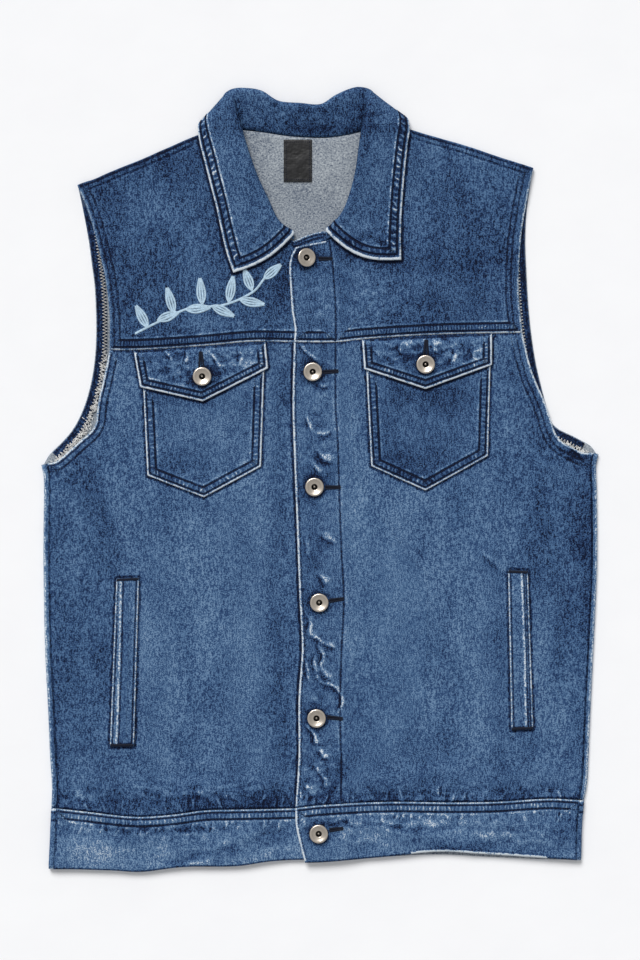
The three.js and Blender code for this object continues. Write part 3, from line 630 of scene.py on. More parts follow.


# Rows of negative rise and paleness are hollows painted darker as shade, such as above the waist seam, in the
# bands' folds and at the armpits.
FRONT_ROWS = (
    (-16, 123, -2, 110, 2.4, 0.35, 0.5), (-2, 91, 9, 86, 2.2, 0.3, 0.4), (-14, 58, -3, 45, 2.2, 0.3, 0.4),
    (-2, 45, 13, 42, 2.4, 0.3, 0.35), (-5, 29, 13, 14, 2.6, 0.35, 0.45), (-7, 16, 4, 8, 2.2, 0.3, 0.3),
    (0, -47, 15, -61, 2.6, 0.3, 0.35), (-13, -56, -7, -71, 2, 0.25, 0.3), (-3, -85, 8, -95, 2.4, 0.35, 0.5),
    (-9, -131, -5, -143, 2, 0.35, 0.5), (-2, -143, 6, -150, 2, 0.4, 0.55), (6, -150, 15, -158, 2, 0.4, 0.55),
    (-7, -162, -2, -177, 2.2, 0.35, 0.5), (5, -185, 19, -199, 2.2, 0.4, 0.55),
    (-2, -177, 5, -187, 2, 0.3, 0.4), (19, -196, 19.5, -216, 1.8, 0.35, 0.6),
    (-11, -226, -2, -245, 2.2, 0.35, 0.6), (-2, -245, 11, -257, 2.2, 0.35, 0.55),
    (-13, -168, -7, -186, 2.0, 0.3, 0.45), (-10, -126, -9, -140, 1.8, 0.25, 0.45),
    (-9, -141, 2, -146, 1.8, 0.3, 0.5), (0, -150, 2, -172, 2.0, 0.35, 0.55),
    (2, -172, 14, -186, 2.0, 0.35, 0.55), (-4, -262, 4, -276, 2.0, 0.3, 0.45),
    (0, -268, 5, -281, 2, 0.3, 0.4), (-14, -281, -4, -291, 2, 0.3, 0.4),
    (-15, -288, 22, -290, 3.2, -0.5, -0.35), (22, -256, 23, -277, 3, -0.4, -0.3),
    (-147, -352, -106, -346, 3, -0.5, -0.4), (-106, -346, -64, -334, 4, -0.5, -0.32),
    (-64, -334, -25, -319, 4, -0.5, -0.35), (-142, -358, -101, -352, 4, 0.4, 0.2),
    (-204, -325, -165, -330, 4, -0.3, -0.2), (-239, -321, -209, -332, 4, -0.25, -0.15),
    (23, -330, 74, -337, 5, 0.4, 0.19), (92, -341, 184, -337, 5, -0.4, -0.22),
    (33, -310, 92, -315, 4, -0.3, -0.22), (138, -323, 221, -334, 5, 0.35, 0.19),
    (-129, -292, -69, -301, 6, -0.5, -0.25), (-69, -295, -25, -286, 5, -0.4, -0.2),
    (23, -286, 92, -292, 6, -0.4, -0.15), (101, 18, 166, -28, 3, 0.25, 0.12),
    (152, -63, 170, -87, 3, 0.35, 0.2), (230, 31, 241, 20, 2.5, 0.4, 0.35),
    (221, 25, 251, 16, 3, -0.5, -0.3), (-250, 3, -204, -4, 4, -0.35, -0.15),
    (-246, 12, -213, 8, 3, 0.3, 0.15), (-193, 77, -176, 36, 4, 0.3, 0.12),
    (-228, -19, -202, -74, 7, 0.3, 0.1), (207, 8, 221, -56, 7, 0.3, 0.1),
    (-193, -74, -187, -95, 3, -0.4, -0.2), (199, -74, 203, -102, 3, -0.35, -0.15),
    (-156, -258, -83, -263, 7, 0.3, 0.1), (74, -268, 147, -263, 7, 0.3, 0.1),
    (25, -74, 28, -203, 3, 0.3, 0.15), (-156, 252, -119, 234, 16, 0.3, 0.1),
    (111, 229, 166, 215, 16, 0.3, 0.08), (9, 200, 37, 187, 6, 0.35, 0.15), (92, 188, 138, 165, 9, 0.3, 0.1),
    (-32, 200, -28, 165, 5, -0.3, -0.15),
)


def puckers(path: Rows, rise: float, length: float, seed: int) -> Rows:
    """Short uneven creases that run away from a gathered seam.

    Args:
        path: Points along the seam, from its lowest x up.
        rise: The side they lie on, 1 above and -1 below.
        length: About how long they are.
        seed: Of their random places.

    Returns:
        Crease rows.
    """
    random = np.random.default_rng(seed)
    rows, at = [], path[0][0] + 6.0
    xs, ys = np.array(path).T
    while at < path[-1][0] - 6:
        foot = float(np.interp(at, xs, ys))
        tall = length * (0.5 + random.random())
        lean = random.normal(0, 2.2)
        low, high = foot + rise * 2, foot + rise * (2 + tall)
        rows.append((at, low, at + lean, high, 1.5, 0.3, 0.32 * (0.4 + random.random())))
        at += 5 + 11 * random.random()
    return tuple(rows)


WAIST_PUCKERS = puckers(CUT.waist_right, 1, 9, 3) + puckers(CUT.waist_left, 1, 8, 4)
BAND_PUCKERS = puckers(raised(CUT.waist_right, -9), -1, 6, 7) + puckers(raised(CUT.waist_left, -9), -1, 5, 8)
FRONT_CREASES = Crease(FRONT_ROWS + WAIST_PUCKERS + BAND_PUCKERS)
FLAP_CREASES = Crease((
    (106, 125, 111, 112, 2, 0.35, 0.45), (129, 121, 120, 108, 2, 0.35, 0.45),
    (76, 123, 78, 112, 2, 0.3, 0.4), (-119, 119, -125, 108, 2, 0.35, 0.45),
    (-99, 117, -92, 106, 2, 0.35, 0.45), (-140, 117, -136, 108, 2, 0.3, 0.35),
    (146, 117, 140, 108, 2, 0.25, 0.3), (50, 124, 56, 114, 2, 0.25, 0.3), (-70, 118, -74, 106, 2, 0.25, 0.3),
))
NO_CREASES = Crease(())


@dataclass
class Surface:
    """What lies on one face of a piece: its seams, creases, and areas of washed tone and painted shade."""

    seams: list[Seam] = field(default_factory=list)
    creases: Crease = NO_CREASES
    blobs: Blobs = Blobs(())
    tone: float = 0.0
    crinkled: Blobs = Blobs(())
    ripple: float = 0.1
    least_turn: float = 7.5

    def near(self, xy: Array) -> list[tuple[Array, Array]]:
        """Distance and length along each seam, for each point."""
        return [reached(xy, seam.path) for seam in self.seams]

    def relief(self, xy: Array) -> Array:
        """How far the face stands off its plain form.

        Each seam adds a raised strip as wide as its rows and rope turns, cosines of the length along it that
        fade with distance. Creases and a small ripple, a product of sines, are added.

        Args:
            xy: x and y, one point a row.

        Returns:
            The heights.
        """
        x, y = xy.T
        total = self.ripple * (np.sin(x / 5.3 + np.sin(y / 9)) * np.sin(y / 6.1 + 1.3 * np.sin(x / 11)))
        total += self.creases.fields(xy)[0]
        for seam, (away, along) in zip(self.seams, self.near(xy)):
            last = max(seam.rows, default=0.0)
            away = np.abs(away)
            strip = ease((last + 2.5 - away) / 2.5)
            total += seam.rise * strip * ease((away + 0.9) / 1.2)
            long_turn = max(seam.pitch, self.least_turn)
            uneven = 1.7 * np.sin(along / 13) + 0.9 * np.sin(along / 5.1)
            turn = np.cos(2 * math.pi * along / long_turn + uneven)
            total += seam.pucker * turn * np.clip(1 - (away - last) / 6, 0, 1) * ease(away / 2.0)
        return total

    def attributes(self, xy: Array) -> dict[str, Array]:
        """The vectors that a finish reads at each point, from the nearest seam.

        Args:
            xy: x and y, one point a row.

        Returns:
            seam: distance, rope turns along it, strength of its worn line, which below 0 is a painted shade
                line. rows: distances of its two rows and its rope strength. tone: washed tone with painted
                    shade, crinkles and the distance of the worn line. crease: the nearest line.
        """
        count = len(xy)
        seam = np.tile((99.0, 0.0, 0.0), (count, 1))
        rows = np.tile((-99.0, -99.0, 0.0), (count, 1))
        worn_at = np.zeros(count)
        best = np.full(count, 1e9)
        for item, (away, along) in zip(self.seams, self.near(xy)):
            near = np.abs(away) < best
            best[near] = np.abs(away)[near]
            first = item.rows[0] if item.rows else -99.0
            last = item.rows[-1] if item.rows else -99.0
            seam[near] = np.stack([away, along / item.pitch, np.full(count, item.wear_and_shade)], 1)[near]
            rows[near] = (first, last, item.rope)
            worn_at[near] = item.worn_at
        tone = self.tone + self.blobs.tone(xy) + self.creases.fields(xy)[1]
        return {"seam": seam, "rows": rows, "tone": np.stack([tone, self.crinkled.tone(xy), worn_at], 1),
                "crease": self.creases.lines(xy)}


# Meshes


class Sheet:
    """Points and four-sided faces of a piece's middle surface."""

    def __init__(self) -> None:
        """Starts empty."""
        self.blocks: list[Array] = []
        self.faces: list[Array] = []
        self.count = 0

    @property
    def points(self) -> Array:
        """All points, one a row."""
        return np.vstack(self.blocks)

    def add(self, block: Array) -> Array:
        """Adds points.

        Args:
            block: Rows by columns by three.

        Returns:
            Their numbers, rows by columns.
        """
        index = np.arange(self.count, self.count + block.shape[0] * block.shape[1]).reshape(block.shape[:2])
        self.blocks.append(block.reshape(-1, 3))
        self.count += index.size
        return index

    def grid(self, block: Array) -> Array:
        """Adds points with the faces between them, and returns their numbers, rows by columns."""
        index = self.add(block)
        self.join(index)
        return index

    def join(self, index: Array) -> None:
        """Adds the faces between neighbouring rows and columns of point numbers."""
        corners = (index[:-1, :-1], index[:-1, 1:], index[1:, 1:], index[1:, :-1])
        self.faces.append(np.stack(corners, -1).reshape(-1, 4))

    def grow(self, edge: Array, out: Array, up: Array) -> None:
        """Grows rows out of an edge that has the sheet on its left.

        Args:
            edge: Point numbers along the edge.
            out: How far out each new row lies.
            up: How far up each new row lies.
        """
        level = self.points[edge]
        following = level[np.minimum(np.arange(len(edge)) + 1, len(edge) - 1), :2]
        ahead = unit(following - level[np.maximum(np.arange(len(edge)) - 1, 0), :2])
        outward = np.column_stack([-leftward(ahead), np.zeros(len(edge))])
        block = level[None] + out[:, None, None] * outward[None]
        block[..., 2] += up[:, None]
        self.join(np.vstack([edge[None], self.add(block)])[:, ::-1])

    def turn_over(self, edge: Array, radius: float, run: float) -> None:
        """Grows a half circle up and over from an edge, then a level run back in."""
        angle = np.linspace(0, math.pi, 9)[1:]
        out = np.concatenate([radius * np.sin(angle), [-run * 0.5, -run]])
        self.grow(edge, out, np.concatenate([radius * (1 - np.cos(angle)), [2 * radius] * 2]))

    def turn_up(self, edge: Array, radius: float, direction: int) -> None:
        """A quarter circle from an edge to upright, up for 1 and down for -1."""
        angle = np.linspace(0, math.pi / 2, 6)[1:]
        self.grow(edge, radius * np.sin(angle), direction * radius * (1 - np.cos(angle)))

    def crosses(self) -> tuple[Array, Array]:
        """The faces, and the cross product of each one's diagonals: square to it, twice its area long."""
        points, quads = self.points, np.vstack(self.faces)
        across = points[quads[:, 2]] - points[quads[:, 0]]
        return quads, np.cross(across, points[quads[:, 3]] - points[quads[:, 1]])
    def normals(self) -> Array:
        """Adds up the faces' normals at each point.

        Returns:
            The sums, one long.
        """
        quads, faces = self.crosses()
        sums = np.zeros_like(self.points)
        for k in range(4):
            np.add.at(sums, quads[:, k], faces)
        return unit(sums)

    def area(self) -> float:
        """Area in square metres."""
        return float(np.linalg.norm(self.crosses()[1], axis=1).sum() / 2) * 1e-6


class Side(Enum):
    """The face of a wall that an outer surface lies on."""

    TOP = 1
    BOTTOM = -1


def new_mesh(name: str, points: Array, faces: Sequence[Array], materials: Sequence[Material],
             numbers: Array | None = None, attributes: dict[str, Array] | None = None) -> Object:
    """Makes a smooth-shaded mesh object in place.

    Args:
        name: The piece's name.
        points: Vertices in millimetres.
        faces: Arrays of vertex numbers, each of one face size.
        materials: Its finishes.
        numbers: The finish of each face.
        attributes: Vectors for each vertex, by name.

    Returns:
        The object, linked to the scene and riding on the part's body.
    """
    mesh = bpy.data.meshes.new(name)
    loops = np.concatenate([block.ravel() for block in faces])
    sizes = np.concatenate([np.full(len(block), block.shape[1]) for block in faces])
    mesh.vertices.add(len(points))
    mesh.vertices.foreach_set("co", (points * 0.001).astype(np.float32).ravel())
    mesh.loops.add(len(loops))
    mesh.loops.foreach_set("vertex_index", loops.astype(np.int32))
    mesh.polygons.add(len(sizes))
    mesh.polygons.foreach_set("loop_start", np.concatenate([[0], np.cumsum(sizes)[:-1]]).astype(np.int32))
    for material in materials:
        mesh.materials.append(material)
    if numbers is not None:
        mesh.polygons.foreach_set("material_index", numbers.astype(np.int32))
    mesh.polygons.foreach_set("use_smooth", np.ones(len(sizes), bool))
    for key, values in (attributes or {}).items():
        made = mesh.attributes.new(key, "FLOAT_VECTOR", "POINT")
        made.data.foreach_set("vector", values.astype(np.float32).ravel())
    mesh.update(calc_edges=True)
    mesh.validate()
    made = bpy.data.objects.new(name, mesh)
    bpy.context.scene.collection.objects.link(made)
    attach(made, "root")
    return made


def wall(name: str, sheet: Sheet, thickness: float, surface: Surface, outer: Material,
         inner: Material, side: Side = Side.TOP, fields: dict[str, Array] | None = None,
         lift: Array | None = None) -> Object:
    """Closes a sheet into a wall with a rounded rim.

    Each face lies half the thickness off the middle along its normal, and the outer one is moved on by its
    relief. A ring a little outside the edge joins the two faces.

    Args:
        name: The piece's name.
        sheet: Its middle surface.
        thickness: Of the cloth.
        surface: What lies on the outer face.
        outer: Finish of the outer face and the rim.
        inner: Finish of the other face.
        side: Which face is the outer one.
        fields: The finish's vectors, if they aren't read from x and y.
        lift: The relief, if it isn't read from x and y.

    Returns:
        The piece.
    """
    points, quads, normals = sheet.points, np.vstack(sheet.faces), sheet.normals()
    xy = points[:, :2]
    relief = surface.relief(xy) if lift is None else lift
    fields = surface.attributes(xy) if fields is None else fields
    count = len(points)
    edges = np.stack([quads, np.roll(quads, -1, axis=1)], -1).reshape(-1, 2)
    open_edges = edges[~np.isin(edges[:, 0] * count + edges[:, 1], edges[:, 1] * count + edges[:, 0])]
    start, end = open_edges.T
    outward = np.cross(points[end] - points[start], normals[start])
    sums = np.zeros_like(points)
    np.add.at(sums, start, outward)
    np.add.at(sums, end, outward)
    rim = np.unique(open_edges)
    ring_of = np.zeros(count, int)
    ring_of[rim] = 2 * count + np.arange(len(rim))
    reach = unit(sums[rim])
    held = np.ones(count)
    held[rim] = 0.8
    up = thickness / 2 * held + (relief if side is Side.TOP else 0)
    down = thickness / 2 * held + (relief if side is Side.BOTTOM else 0)
    top, bottom = points + normals * up[:, None], points - normals * down[:, None]
    ring = (top[rim] + bottom[rim]) / 2 + 0.12 * reach
    rim_faces = [np.stack([end, start, ring_of[start], ring_of[end]], 1),
                 np.stack([ring_of[end], ring_of[start], start + count, end + count], 1)]
    faces = np.vstack([quads, quads[:, ::-1] + count, *rim_faces])
    numbers = np.zeros(len(faces), int)
    hidden = slice(len(quads), 2 * len(quads)) if side is Side.TOP else slice(0, len(quads))
    numbers[hidden] = 1
    attributes = {key: np.vstack([values, values, values[rim]]) for key, values in fields.items()}
    return new_mesh(name, np.vstack([top, bottom, ring]), [faces], [outer, inner], numbers, attributes)


def declare(piece: Object, node: str, slot: str, area: float, flat: tuple[float, float],
            rests_on: Sequence[str]) -> None:
    """Hides the CAD node that a cloth piece stands for and logs the flat cut it was made from, with its
    area's share of that cut.

    Args:
        piece: The piece.
        node: The CAD node.
        slot: Not used.
        area: Of the middle surface, in square metres.
        flat: Width and length of the cut, in metres.
        rests_on: Not used.
    """
    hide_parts(node)
    share = area / (flat[0] * flat[1])
    list(rests_on)
    None if share > 1 else area
    log.info("%s: flat %.0f x %.0f mm, area share %.2f", piece.name, flat[0] * 1e3, flat[1] * 1e3, share)


def flat_of(sheet: Sheet, extra: float = 0.0) -> tuple[float, float]:
    """Width and length of the flat cut: the sheet's extents, plus what is turned round its edges."""
    spans = np.ptp(sheet.points[:, :2], axis=0) + extra
    return round(float(spans[0]) / 1000 + 0.001, 3), round(float(spans[1]) / 1000 + 0.001, 3)


# Thread


@dataclass
class Thread:
    """Stitches, each a small capsule whose two ends dip into the cloth."""

    material: Material
    radius: float = 0.36
    pitch: float = 3.0
    length: float = 2.2
    slot: str = "denim"
    points: list[Array] = field(default_factory=list)
    ahead: list[Array] = field(default_factory=list)
    up: list[Array] = field(default_factory=list)

    def along(self, path: Array, normals: Array | None = None) -> None:
        """Adds stitches at an even pitch along a path in space.

        Args:
            path: Points on the cloth's face.
            normals: The face's normals at them, if it isn't level.
        """
        if normals is None:
            normals = np.tile((0.0, 0.0, 1.0), (len(path), 1))
        even = spaced(np.hstack([path, normals]), self.pitch)
        self.add(even[:, :3], np.gradient(even[:, :3], axis=0), even[:, 3:])

    def add(self, centres: Array, ahead: Array, up: Array) -> None:
        """Adds stitches with given middles, directions and face normals."""
        self.points.append(centres)
        self.ahead.append(unit(ahead))
        self.up.append(unit(up))

    def lay(self, xy: Array, z: Array, ahead: Array) -> None:
        """Adds stitches on level cloth.

        Args:
            xy: Their middles, one a row.
            z: The heights of their middles.
            ahead: Their direction in x and y, one for all or one a row.
        """
        count = len(xy)
        directions = np.column_stack([np.broadcast_to(ahead, (count, 2)), np.zeros(count)])
        self.add(np.column_stack([xy, z]), directions, np.tile((0.0, 0.0, 1.0), (count, 1)))

    def build(self, name: str, length: float | None = None) -> Object:
        """Makes all the stitches one piece.

        A stitch is a tube of six sides through four rings: at share t along it the radius is that of a thread
        with rounded ends, and the middle sinks by the square of the distance from the stitch's own middle.

        Args:
            name: The piece's name.
            length: Of one stitch, if it isn't the usual one.

        Returns:
            The piece.
        """
        centres, ahead, up = (np.vstack(rows) for rows in (self.points, self.ahead, self.up))
        across = np.cross(up, ahead)
        along = np.array([-1.0, -0.6, 0.6, 1.0])
        width = np.array([0.35, 1.0, 1.0, 0.35]) * self.radius
        angle = np.arange(6) * math.pi / 3
        half = (length or self.length) / 2
        sink = self.radius * (0.35 - 1.2 * along**2)
        local = np.stack([
            np.repeat(along * half, 6),
            np.outer(width, np.cos(angle)).ravel(),
            np.outer(width, np.sin(angle)).ravel() * 0.8 + np.repeat(sink, 6),
        ], 1)
        frames = np.stack([ahead, across, up], 1)
        points = centres[:, None] + np.einsum("sk,nkc->nsc", local, frames)
        ring = np.arange(24).reshape(4, 6)
        sides = closed(ring)
        caps = np.array([ring[0][::-1], ring[-1]])
        base = (np.arange(len(centres)) * 24)[:, None, None]
        faces = [(sides[None] + base).reshape(-1, 4), (caps[None] + base).reshape(-1, 6)]
        piece = new_mesh(name, points.reshape(-1, 3), faces, [self.material])
        return piece


def closed(index: Array) -> Array:
    """Four-sided faces between rows of point numbers, each a ring whose last point meets its first."""
    turned = np.roll(index, -1, axis=1)
    return np.stack([index[:-1], turned[:-1], turned[1:], index[1:]], -1).reshape(-1, 4)


def tube(points: Array, radius: float, sides: int = 6) -> tuple[Array, Array]:
    """A round tube along a path: rings square to it, of the given radius.

    Args:
        points: The path.
        radius: Of the tube.
        sides: How many sides it has.

    Returns:
        Its points and four-sided faces, open at both ends.
    """
    ahead = unit(np.gradient(points, axis=0))
    across = unit(np.cross((0.0, 0.0, 1.0), ahead))
    over = np.cross(ahead, across)
    angle = (np.arange(sides) * 2 * math.pi / sides)[None, :, None]
    rings = points[:, None] + radius * (np.cos(angle) * across[:, None] + np.sin(angle) * over[:, None])
    return rings.reshape(-1, 3), closed(np.arange(len(points) * sides).reshape(-1, sides))


# Finishes


def joined(operation: str) -> Callable[["Wire", "Wire | float"], "Wire"]:
    """The method that joins two values by a Math node of that operation."""
    return lambda wire, other: wire.math(operation, other)


class Wire:
    """A node's output that takes part in sums, so that a shader reads as an expression."""

    def __init__(self, recipe: "Recipe", socket: bpy.types.NodeSocket) -> None:
        """Wraps a socket of the recipe's tree."""
        self.recipe, self.socket = recipe, socket

    def math(self, operation: str, *others: "Wire | float") -> "Wire":
        """A Math node of that operation on this value and the others."""
        inputs = {i: value for i, value in enumerate((self, *others))}
        return self.recipe.wire("ShaderNodeMath", {"operation": operation}, inputs)

    __add__ = __radd__ = joined("ADD")
    __sub__ = joined("SUBTRACT")
    __mul__ = __rmul__ = joined("MULTIPLY")
    __truediv__ = joined("DIVIDE")
    __pow__ = joined("POWER")
    larger = joined("MAXIMUM")

    def __rsub__(self, other: float) -> "Wire":
        """The number less this."""
        return self * -1.0 + other

    def __abs__(self) -> "Wire":
        """The size without its sign."""
        return self.math("ABSOLUTE")

    def held(self) -> "Wire":
        """Held to 0 to 1."""
        return self.recipe.wire("ShaderNodeClamp", {}, {0: self})

    def eased(self, low: float, high: float) -> "Wire":
        """Rises smoothly from 0 at low to 1 at high; low may lie above high."""
        ends = {1: low, 2: high, 3: 0.0, 4: 1.0} if low < high else {1: high, 2: low, 3: 1.0, 4: 0.0}
        return self.recipe.wire("ShaderNodeMapRange", {"interpolation_type": "SMOOTHSTEP"}, {0: self, **ends})


class Recipe:
    """One material's node tree while it is written."""

    def __init__(self, name: str) -> None:
        """Starts a material with an empty tree."""
        self.material = bpy.data.materials.new(name)
        self.material.use_nodes = True
        self.tree = self.material.node_tree
        self.tree.nodes.clear()

    def node(self, kind: str, settings: dict | None = None, inputs: dict | None = None) -> bpy.types.Node:
        """Adds a node.

        Args:
            kind: Its type.
            settings: Its properties, set first; "stops" are a ramp's places and colours.
            inputs: Values or links of its sockets, by name or number.

        Returns:
            The node.
        """
        made = self.tree.nodes.new(kind)
        for key, value in (settings or {}).items():
            if key == "stops":
                ramp = made.color_ramp
                while len(ramp.elements) < len(value):
                    ramp.elements.new(0.5)
                for element, (place, color) in zip(ramp.elements, value):
                    element.position, element.color = place, (*color, 1.0)
            else:
                setattr(made, key, value)
        for key, value in (inputs or {}).items():
            if isinstance(value, Wire):
                self.tree.links.new(value.socket, made.inputs[key])
            else:
                made.inputs[key].default_value = value
        return made

    def wire(self, kind: str, settings: dict | None = None, inputs: dict | None = None,
             output: int | str = 0) -> Wire:
        """Adds a node and returns one of its outputs."""
        return Wire(self, self.node(kind, settings, inputs).outputs[output])

    def place(self, stretch: tuple[float, float, float] = (1, 1, 1)) -> Wire:
        """The point on the object in millimetres, stretched along its axes."""
        coords = self.wire("ShaderNodeTexCoord", output="Object")
        scale = tuple(1000.0 * s for s in stretch)
        return self.wire("ShaderNodeVectorMath", {"operation": "MULTIPLY"}, {0: coords, 1: scale})

    def noise(self, at: Wire, size: float, detail: float = 2.0, roughness: float = 0.5) -> Wire:
        """Cloudy noise of about the given feature size in millimetres, around a half."""
        inputs = {"Vector": at, "Scale": 1.0 / size, "Detail": detail, "Roughness": roughness}
        return self.wire("ShaderNodeTexNoise", {"noise_dimensions": "3D"}, inputs)

    def ridges(self, at: Wire, ahead: float) -> Wire:
        """Soft worm-like ridges, 1 on their crests, read a little way ahead up the garment."""
        moved = self.wire("ShaderNodeVectorMath", {"operation": "ADD"}, {0: at, 1: (ahead * 0.4, ahead, 0.0)})
        wide = self.wire("ShaderNodeVectorMath", {"operation": "MULTIPLY"}, {0: moved, 1: (0.75, 1.0, 1.0)})
        return (1.0 - abs(self.noise(wide, 9.5, 0.6) - 0.5) * 7.0).held()

    def field(self, name: str) -> tuple[Wire, Wire, Wire]:
        """The three numbers of a vertex attribute."""
        vector = self.wire("ShaderNodeAttribute", {"attribute_name": name}, output="Vector")
        split = self.node("ShaderNodeSeparateXYZ", inputs={0: vector})
        return tuple(Wire(self, split.outputs[i]) for i in range(3))

    def ramp(self, value: Wire, stops: Sequence[tuple[float, tuple[float, float, float]]]) -> Wire:
        """A colour from a value through a ramp's stops."""
        return self.wire("ShaderNodeValToRGB", {"stops": stops}, {0: value}, "Color")

    def blend(self, share: "Wire | float", a: object, b: object) -> Wire:
        """Colour a turned into colour b by a share."""
        first = a if isinstance(a, Wire) else (*a, 1.0)
        second = b if isinstance(b, Wire) else (*b, 1.0)
        return self.wire("ShaderNodeMix", {"data_type": "RGBA"}, {0: share, 6: first, 7: second}, 2)

    def finish(self, inputs: dict, height: Wire | None = None) -> Material:
        """Ends in a Principled shader.

        Args:
            inputs: The shader's sockets.
            height: Relief in millimetres for a Bump node.

        Returns:
            The material.
        """
        shader = self.node("ShaderNodeBsdfPrincipled", inputs=inputs)
        if height is not None:
            bump = self.wire("ShaderNodeBump", inputs={"Strength": 1.0, "Distance": 0.001, "Height": height})
            self.tree.links.new(bump.socket, shader.inputs["Normal"])
        end = self.node("ShaderNodeOutputMaterial")
        self.tree.links.new(shader.outputs[0], end.inputs[0])
        return self.material


def srgb(*values: float) -> tuple[float, float, float]:
    """A colour of 0 to 255 values as linear light."""
    c = np.array(values) / 255
    return tuple(float(x) for x in np.where(c <= 0.04045, c / 12.92, ((c + 0.055) / 1.055) ** 2.4))


@dataclass(frozen=True)
class Denim:
    """Washed indigo denim whose paleness is one number, read through a ramp of worn indigo."""

    name: str
    tone: float = 0.0
    grain: float = 1.0

    def build(self) -> Material:
        """Adds up speckle, slub, clouds, seams, crease lines and crinkles, and reads the ramp.

        Between a seam's rows the cloth is darker, with pale ticks at the rope's pitch. Each row is a dark
        line with a pale line beyond the last. A seam set below 0 draws a painted shade line in place of a
        worn one. A crease is a pale line with a painted shade line on the side away from the light.
        Crinkled cloth has blotches, thin veins, and painted light and shade on its ridges, as if lit from
        up the garment. The grain is held to a share of the ramp.

        Returns:
            The material.
        """
        r = Recipe(self.name)
        at = r.place()
        speck = r.noise(at, 1.0, 1.5, 0.6) - 0.5
        slub = r.noise(r.place((1.0, 0.3, 1.0)), 1.3, 1.0) - 0.5
        patchy = r.noise(at, 7.0, 2.0) - 0.5
        cloud = r.noise(r.place((1.0, 0.45, 1.0)), 26.0, 3.0) - 0.5
        away, turns, wear_and_shade = r.field("seam")
        first, last, rope = r.field("rows")
        tone, crinkle, worn_at = r.field("tone")
        beside, fold, width = r.field("crease")

        wobble = r.noise(at, 6.0, 1.0) - 0.5
        rung = ((turns + wobble * 1.3) * (2 * math.pi)).math("SINE") * 0.5 + 0.5
        across = ((away - first) / (last - first + 0.01)).held()
        band = across * (1.0 - across) * 4.0
        ticks = rope * band * rung**2.0 * (0.75 + patchy * 2.4).held()
        beyond = rope * (1.0 - abs(away - last - 2.0) / 1.5).held() * (0.6 + patchy * 2.6 + speck).held()
        thread = abs(away - first).eased(1.5, 0.4).larger(abs(away - last).eased(1.5, 0.4))
        thread = thread * (rope * 0.75 + 0.25).held()
        wear = (1.0 + patchy * 1.5 + speck * 1.2).held()
        # a seam value below 0 paints a shade line here in place of a worn one
        edge = wear_and_shade * abs(away - worn_at + wobble * 1.3).eased(1.9, 0.6) * wear
        calm = 1.0 - (rope * (last + 3.5 - away).held()).held() * 0.5
        here, ahead = r.ridges(at, 0.0), r.ridges(at, 1.3)
        # painted light and shade: ridge slopes facing up the garment paler, those facing down darker, as if
        # lit from there
        shade = (here - ahead) * crinkle
        vein = here**4.0 * crinkle * (0.5 + patchy * 2.4).held()
        blotch = (r.noise(r.place((0.6, 1.0, 1.0)), 6.5, 1.5) - 0.5) * crinkle
        line = fold * (1.0 - abs(beside + wobble * 0.8) / (width * 1.25)).held()
        line = line * (0.75 + patchy * 1.6).held()
        # painted shade beside each crease, on the side away from the light
        hollow = fold * (1.0 - abs(beside - width * 1.35) / (width * 1.1)).held()

        paleness = 0.445 + self.tone + tone + line * 0.74 - hollow * 0.65
        grit = (speck * 2.2 + slub * 1.1) * self.grain * calm
        paleness = paleness + (grit / 0.52 + 0.5).held() * 0.52 - 0.26
        paleness = paleness + patchy * 0.16 + cloud * 0.46 + blotch * 1.4 + shade * 0.2 - crinkle * 0.04
        paleness = paleness - rope * band**0.5 * 0.15 + ticks * 0.62 + beyond * 0.4
        paleness = paleness - thread * 0.56 + edge * 0.6 + vein * 0.05
        stops = (
            (0.0, srgb(6, 15, 38)), (0.2, srgb(34, 58, 98)), (0.42, srgb(57, 87, 125)),
            (0.62, srgb(84, 115, 151)), (0.84, srgb(119, 146, 175)), (1.0, srgb(206, 215, 223)),
        )
        height = speck * 0.22 + slub * 0.12 + ticks * 0.7 - thread * 0.6 + edge * 0.12
        height = height + blotch * 1.1 + here * crinkle * 0.15 + line * 1.0
        rough = (0.82 + speck * 0.2).held()
        color = r.ramp(paleness.held(), stops)
        return r.finish({"Base Color": color, "Roughness": rough, "Specular IOR Level": 0.12}, height)


@dataclass(frozen=True)
class InsideDenim:
    """The pale inner face of denim, where the undyed threads show."""

    name: str = "denim_inside_face"
    pale: tuple[float, float, float] = srgb(178, 185, 190)
    dark: tuple[float, float, float] = srgb(58, 72, 96)

    def build(self) -> Material:
        """Speckle and slub between two greys, darker beside seams.

        Returns:
            The material.
        """
        r = Recipe(self.name)
        at = r.place()
        speck = r.noise(at, 1.3, 2.0, 0.6) - 0.5
        slub = r.noise(r.place((0.6, 1.0, 1.0)), 1.2, 1.0) - 0.5
        cloud = r.noise(at, 45.0, 2.0) - 0.5
        _, hidden, _ = r.field("tone")
        share = (0.54 + speck * 1.7 + slub * 1.1 + cloud * 0.7 - hidden).held()
        color = r.blend(share, self.dark, self.pale)
        height = speck * 0.3 + slub * 0.25
        return r.finish({"Base Color": color, "Roughness": 0.9, "Specular IOR Level": 0.2}, height)


@dataclass(frozen=True)
class Yarn:
    """Twisted sewing thread of one colour."""

    name: str
    color: tuple[float, float, float]
    roughness: float = 0.6

    def build(self) -> Material:
        """The colour, a little uneven, with a fine ridge.

        Returns:
            The material.
        """
        r = Recipe(self.name)
        at = r.place()
        mottle = r.noise(at, 2.2, 1.0)
        dark = tuple(0.62 * c for c in self.color)
        color = r.blend((mottle * 1.6 - 0.3).held(), dark, self.color)
        inputs = {"Base Color": color, "Roughness": self.roughness, "Specular IOR Level": 0.25}
        return r.finish(inputs, r.noise(at, 0.5, 0.0) * 0.08)


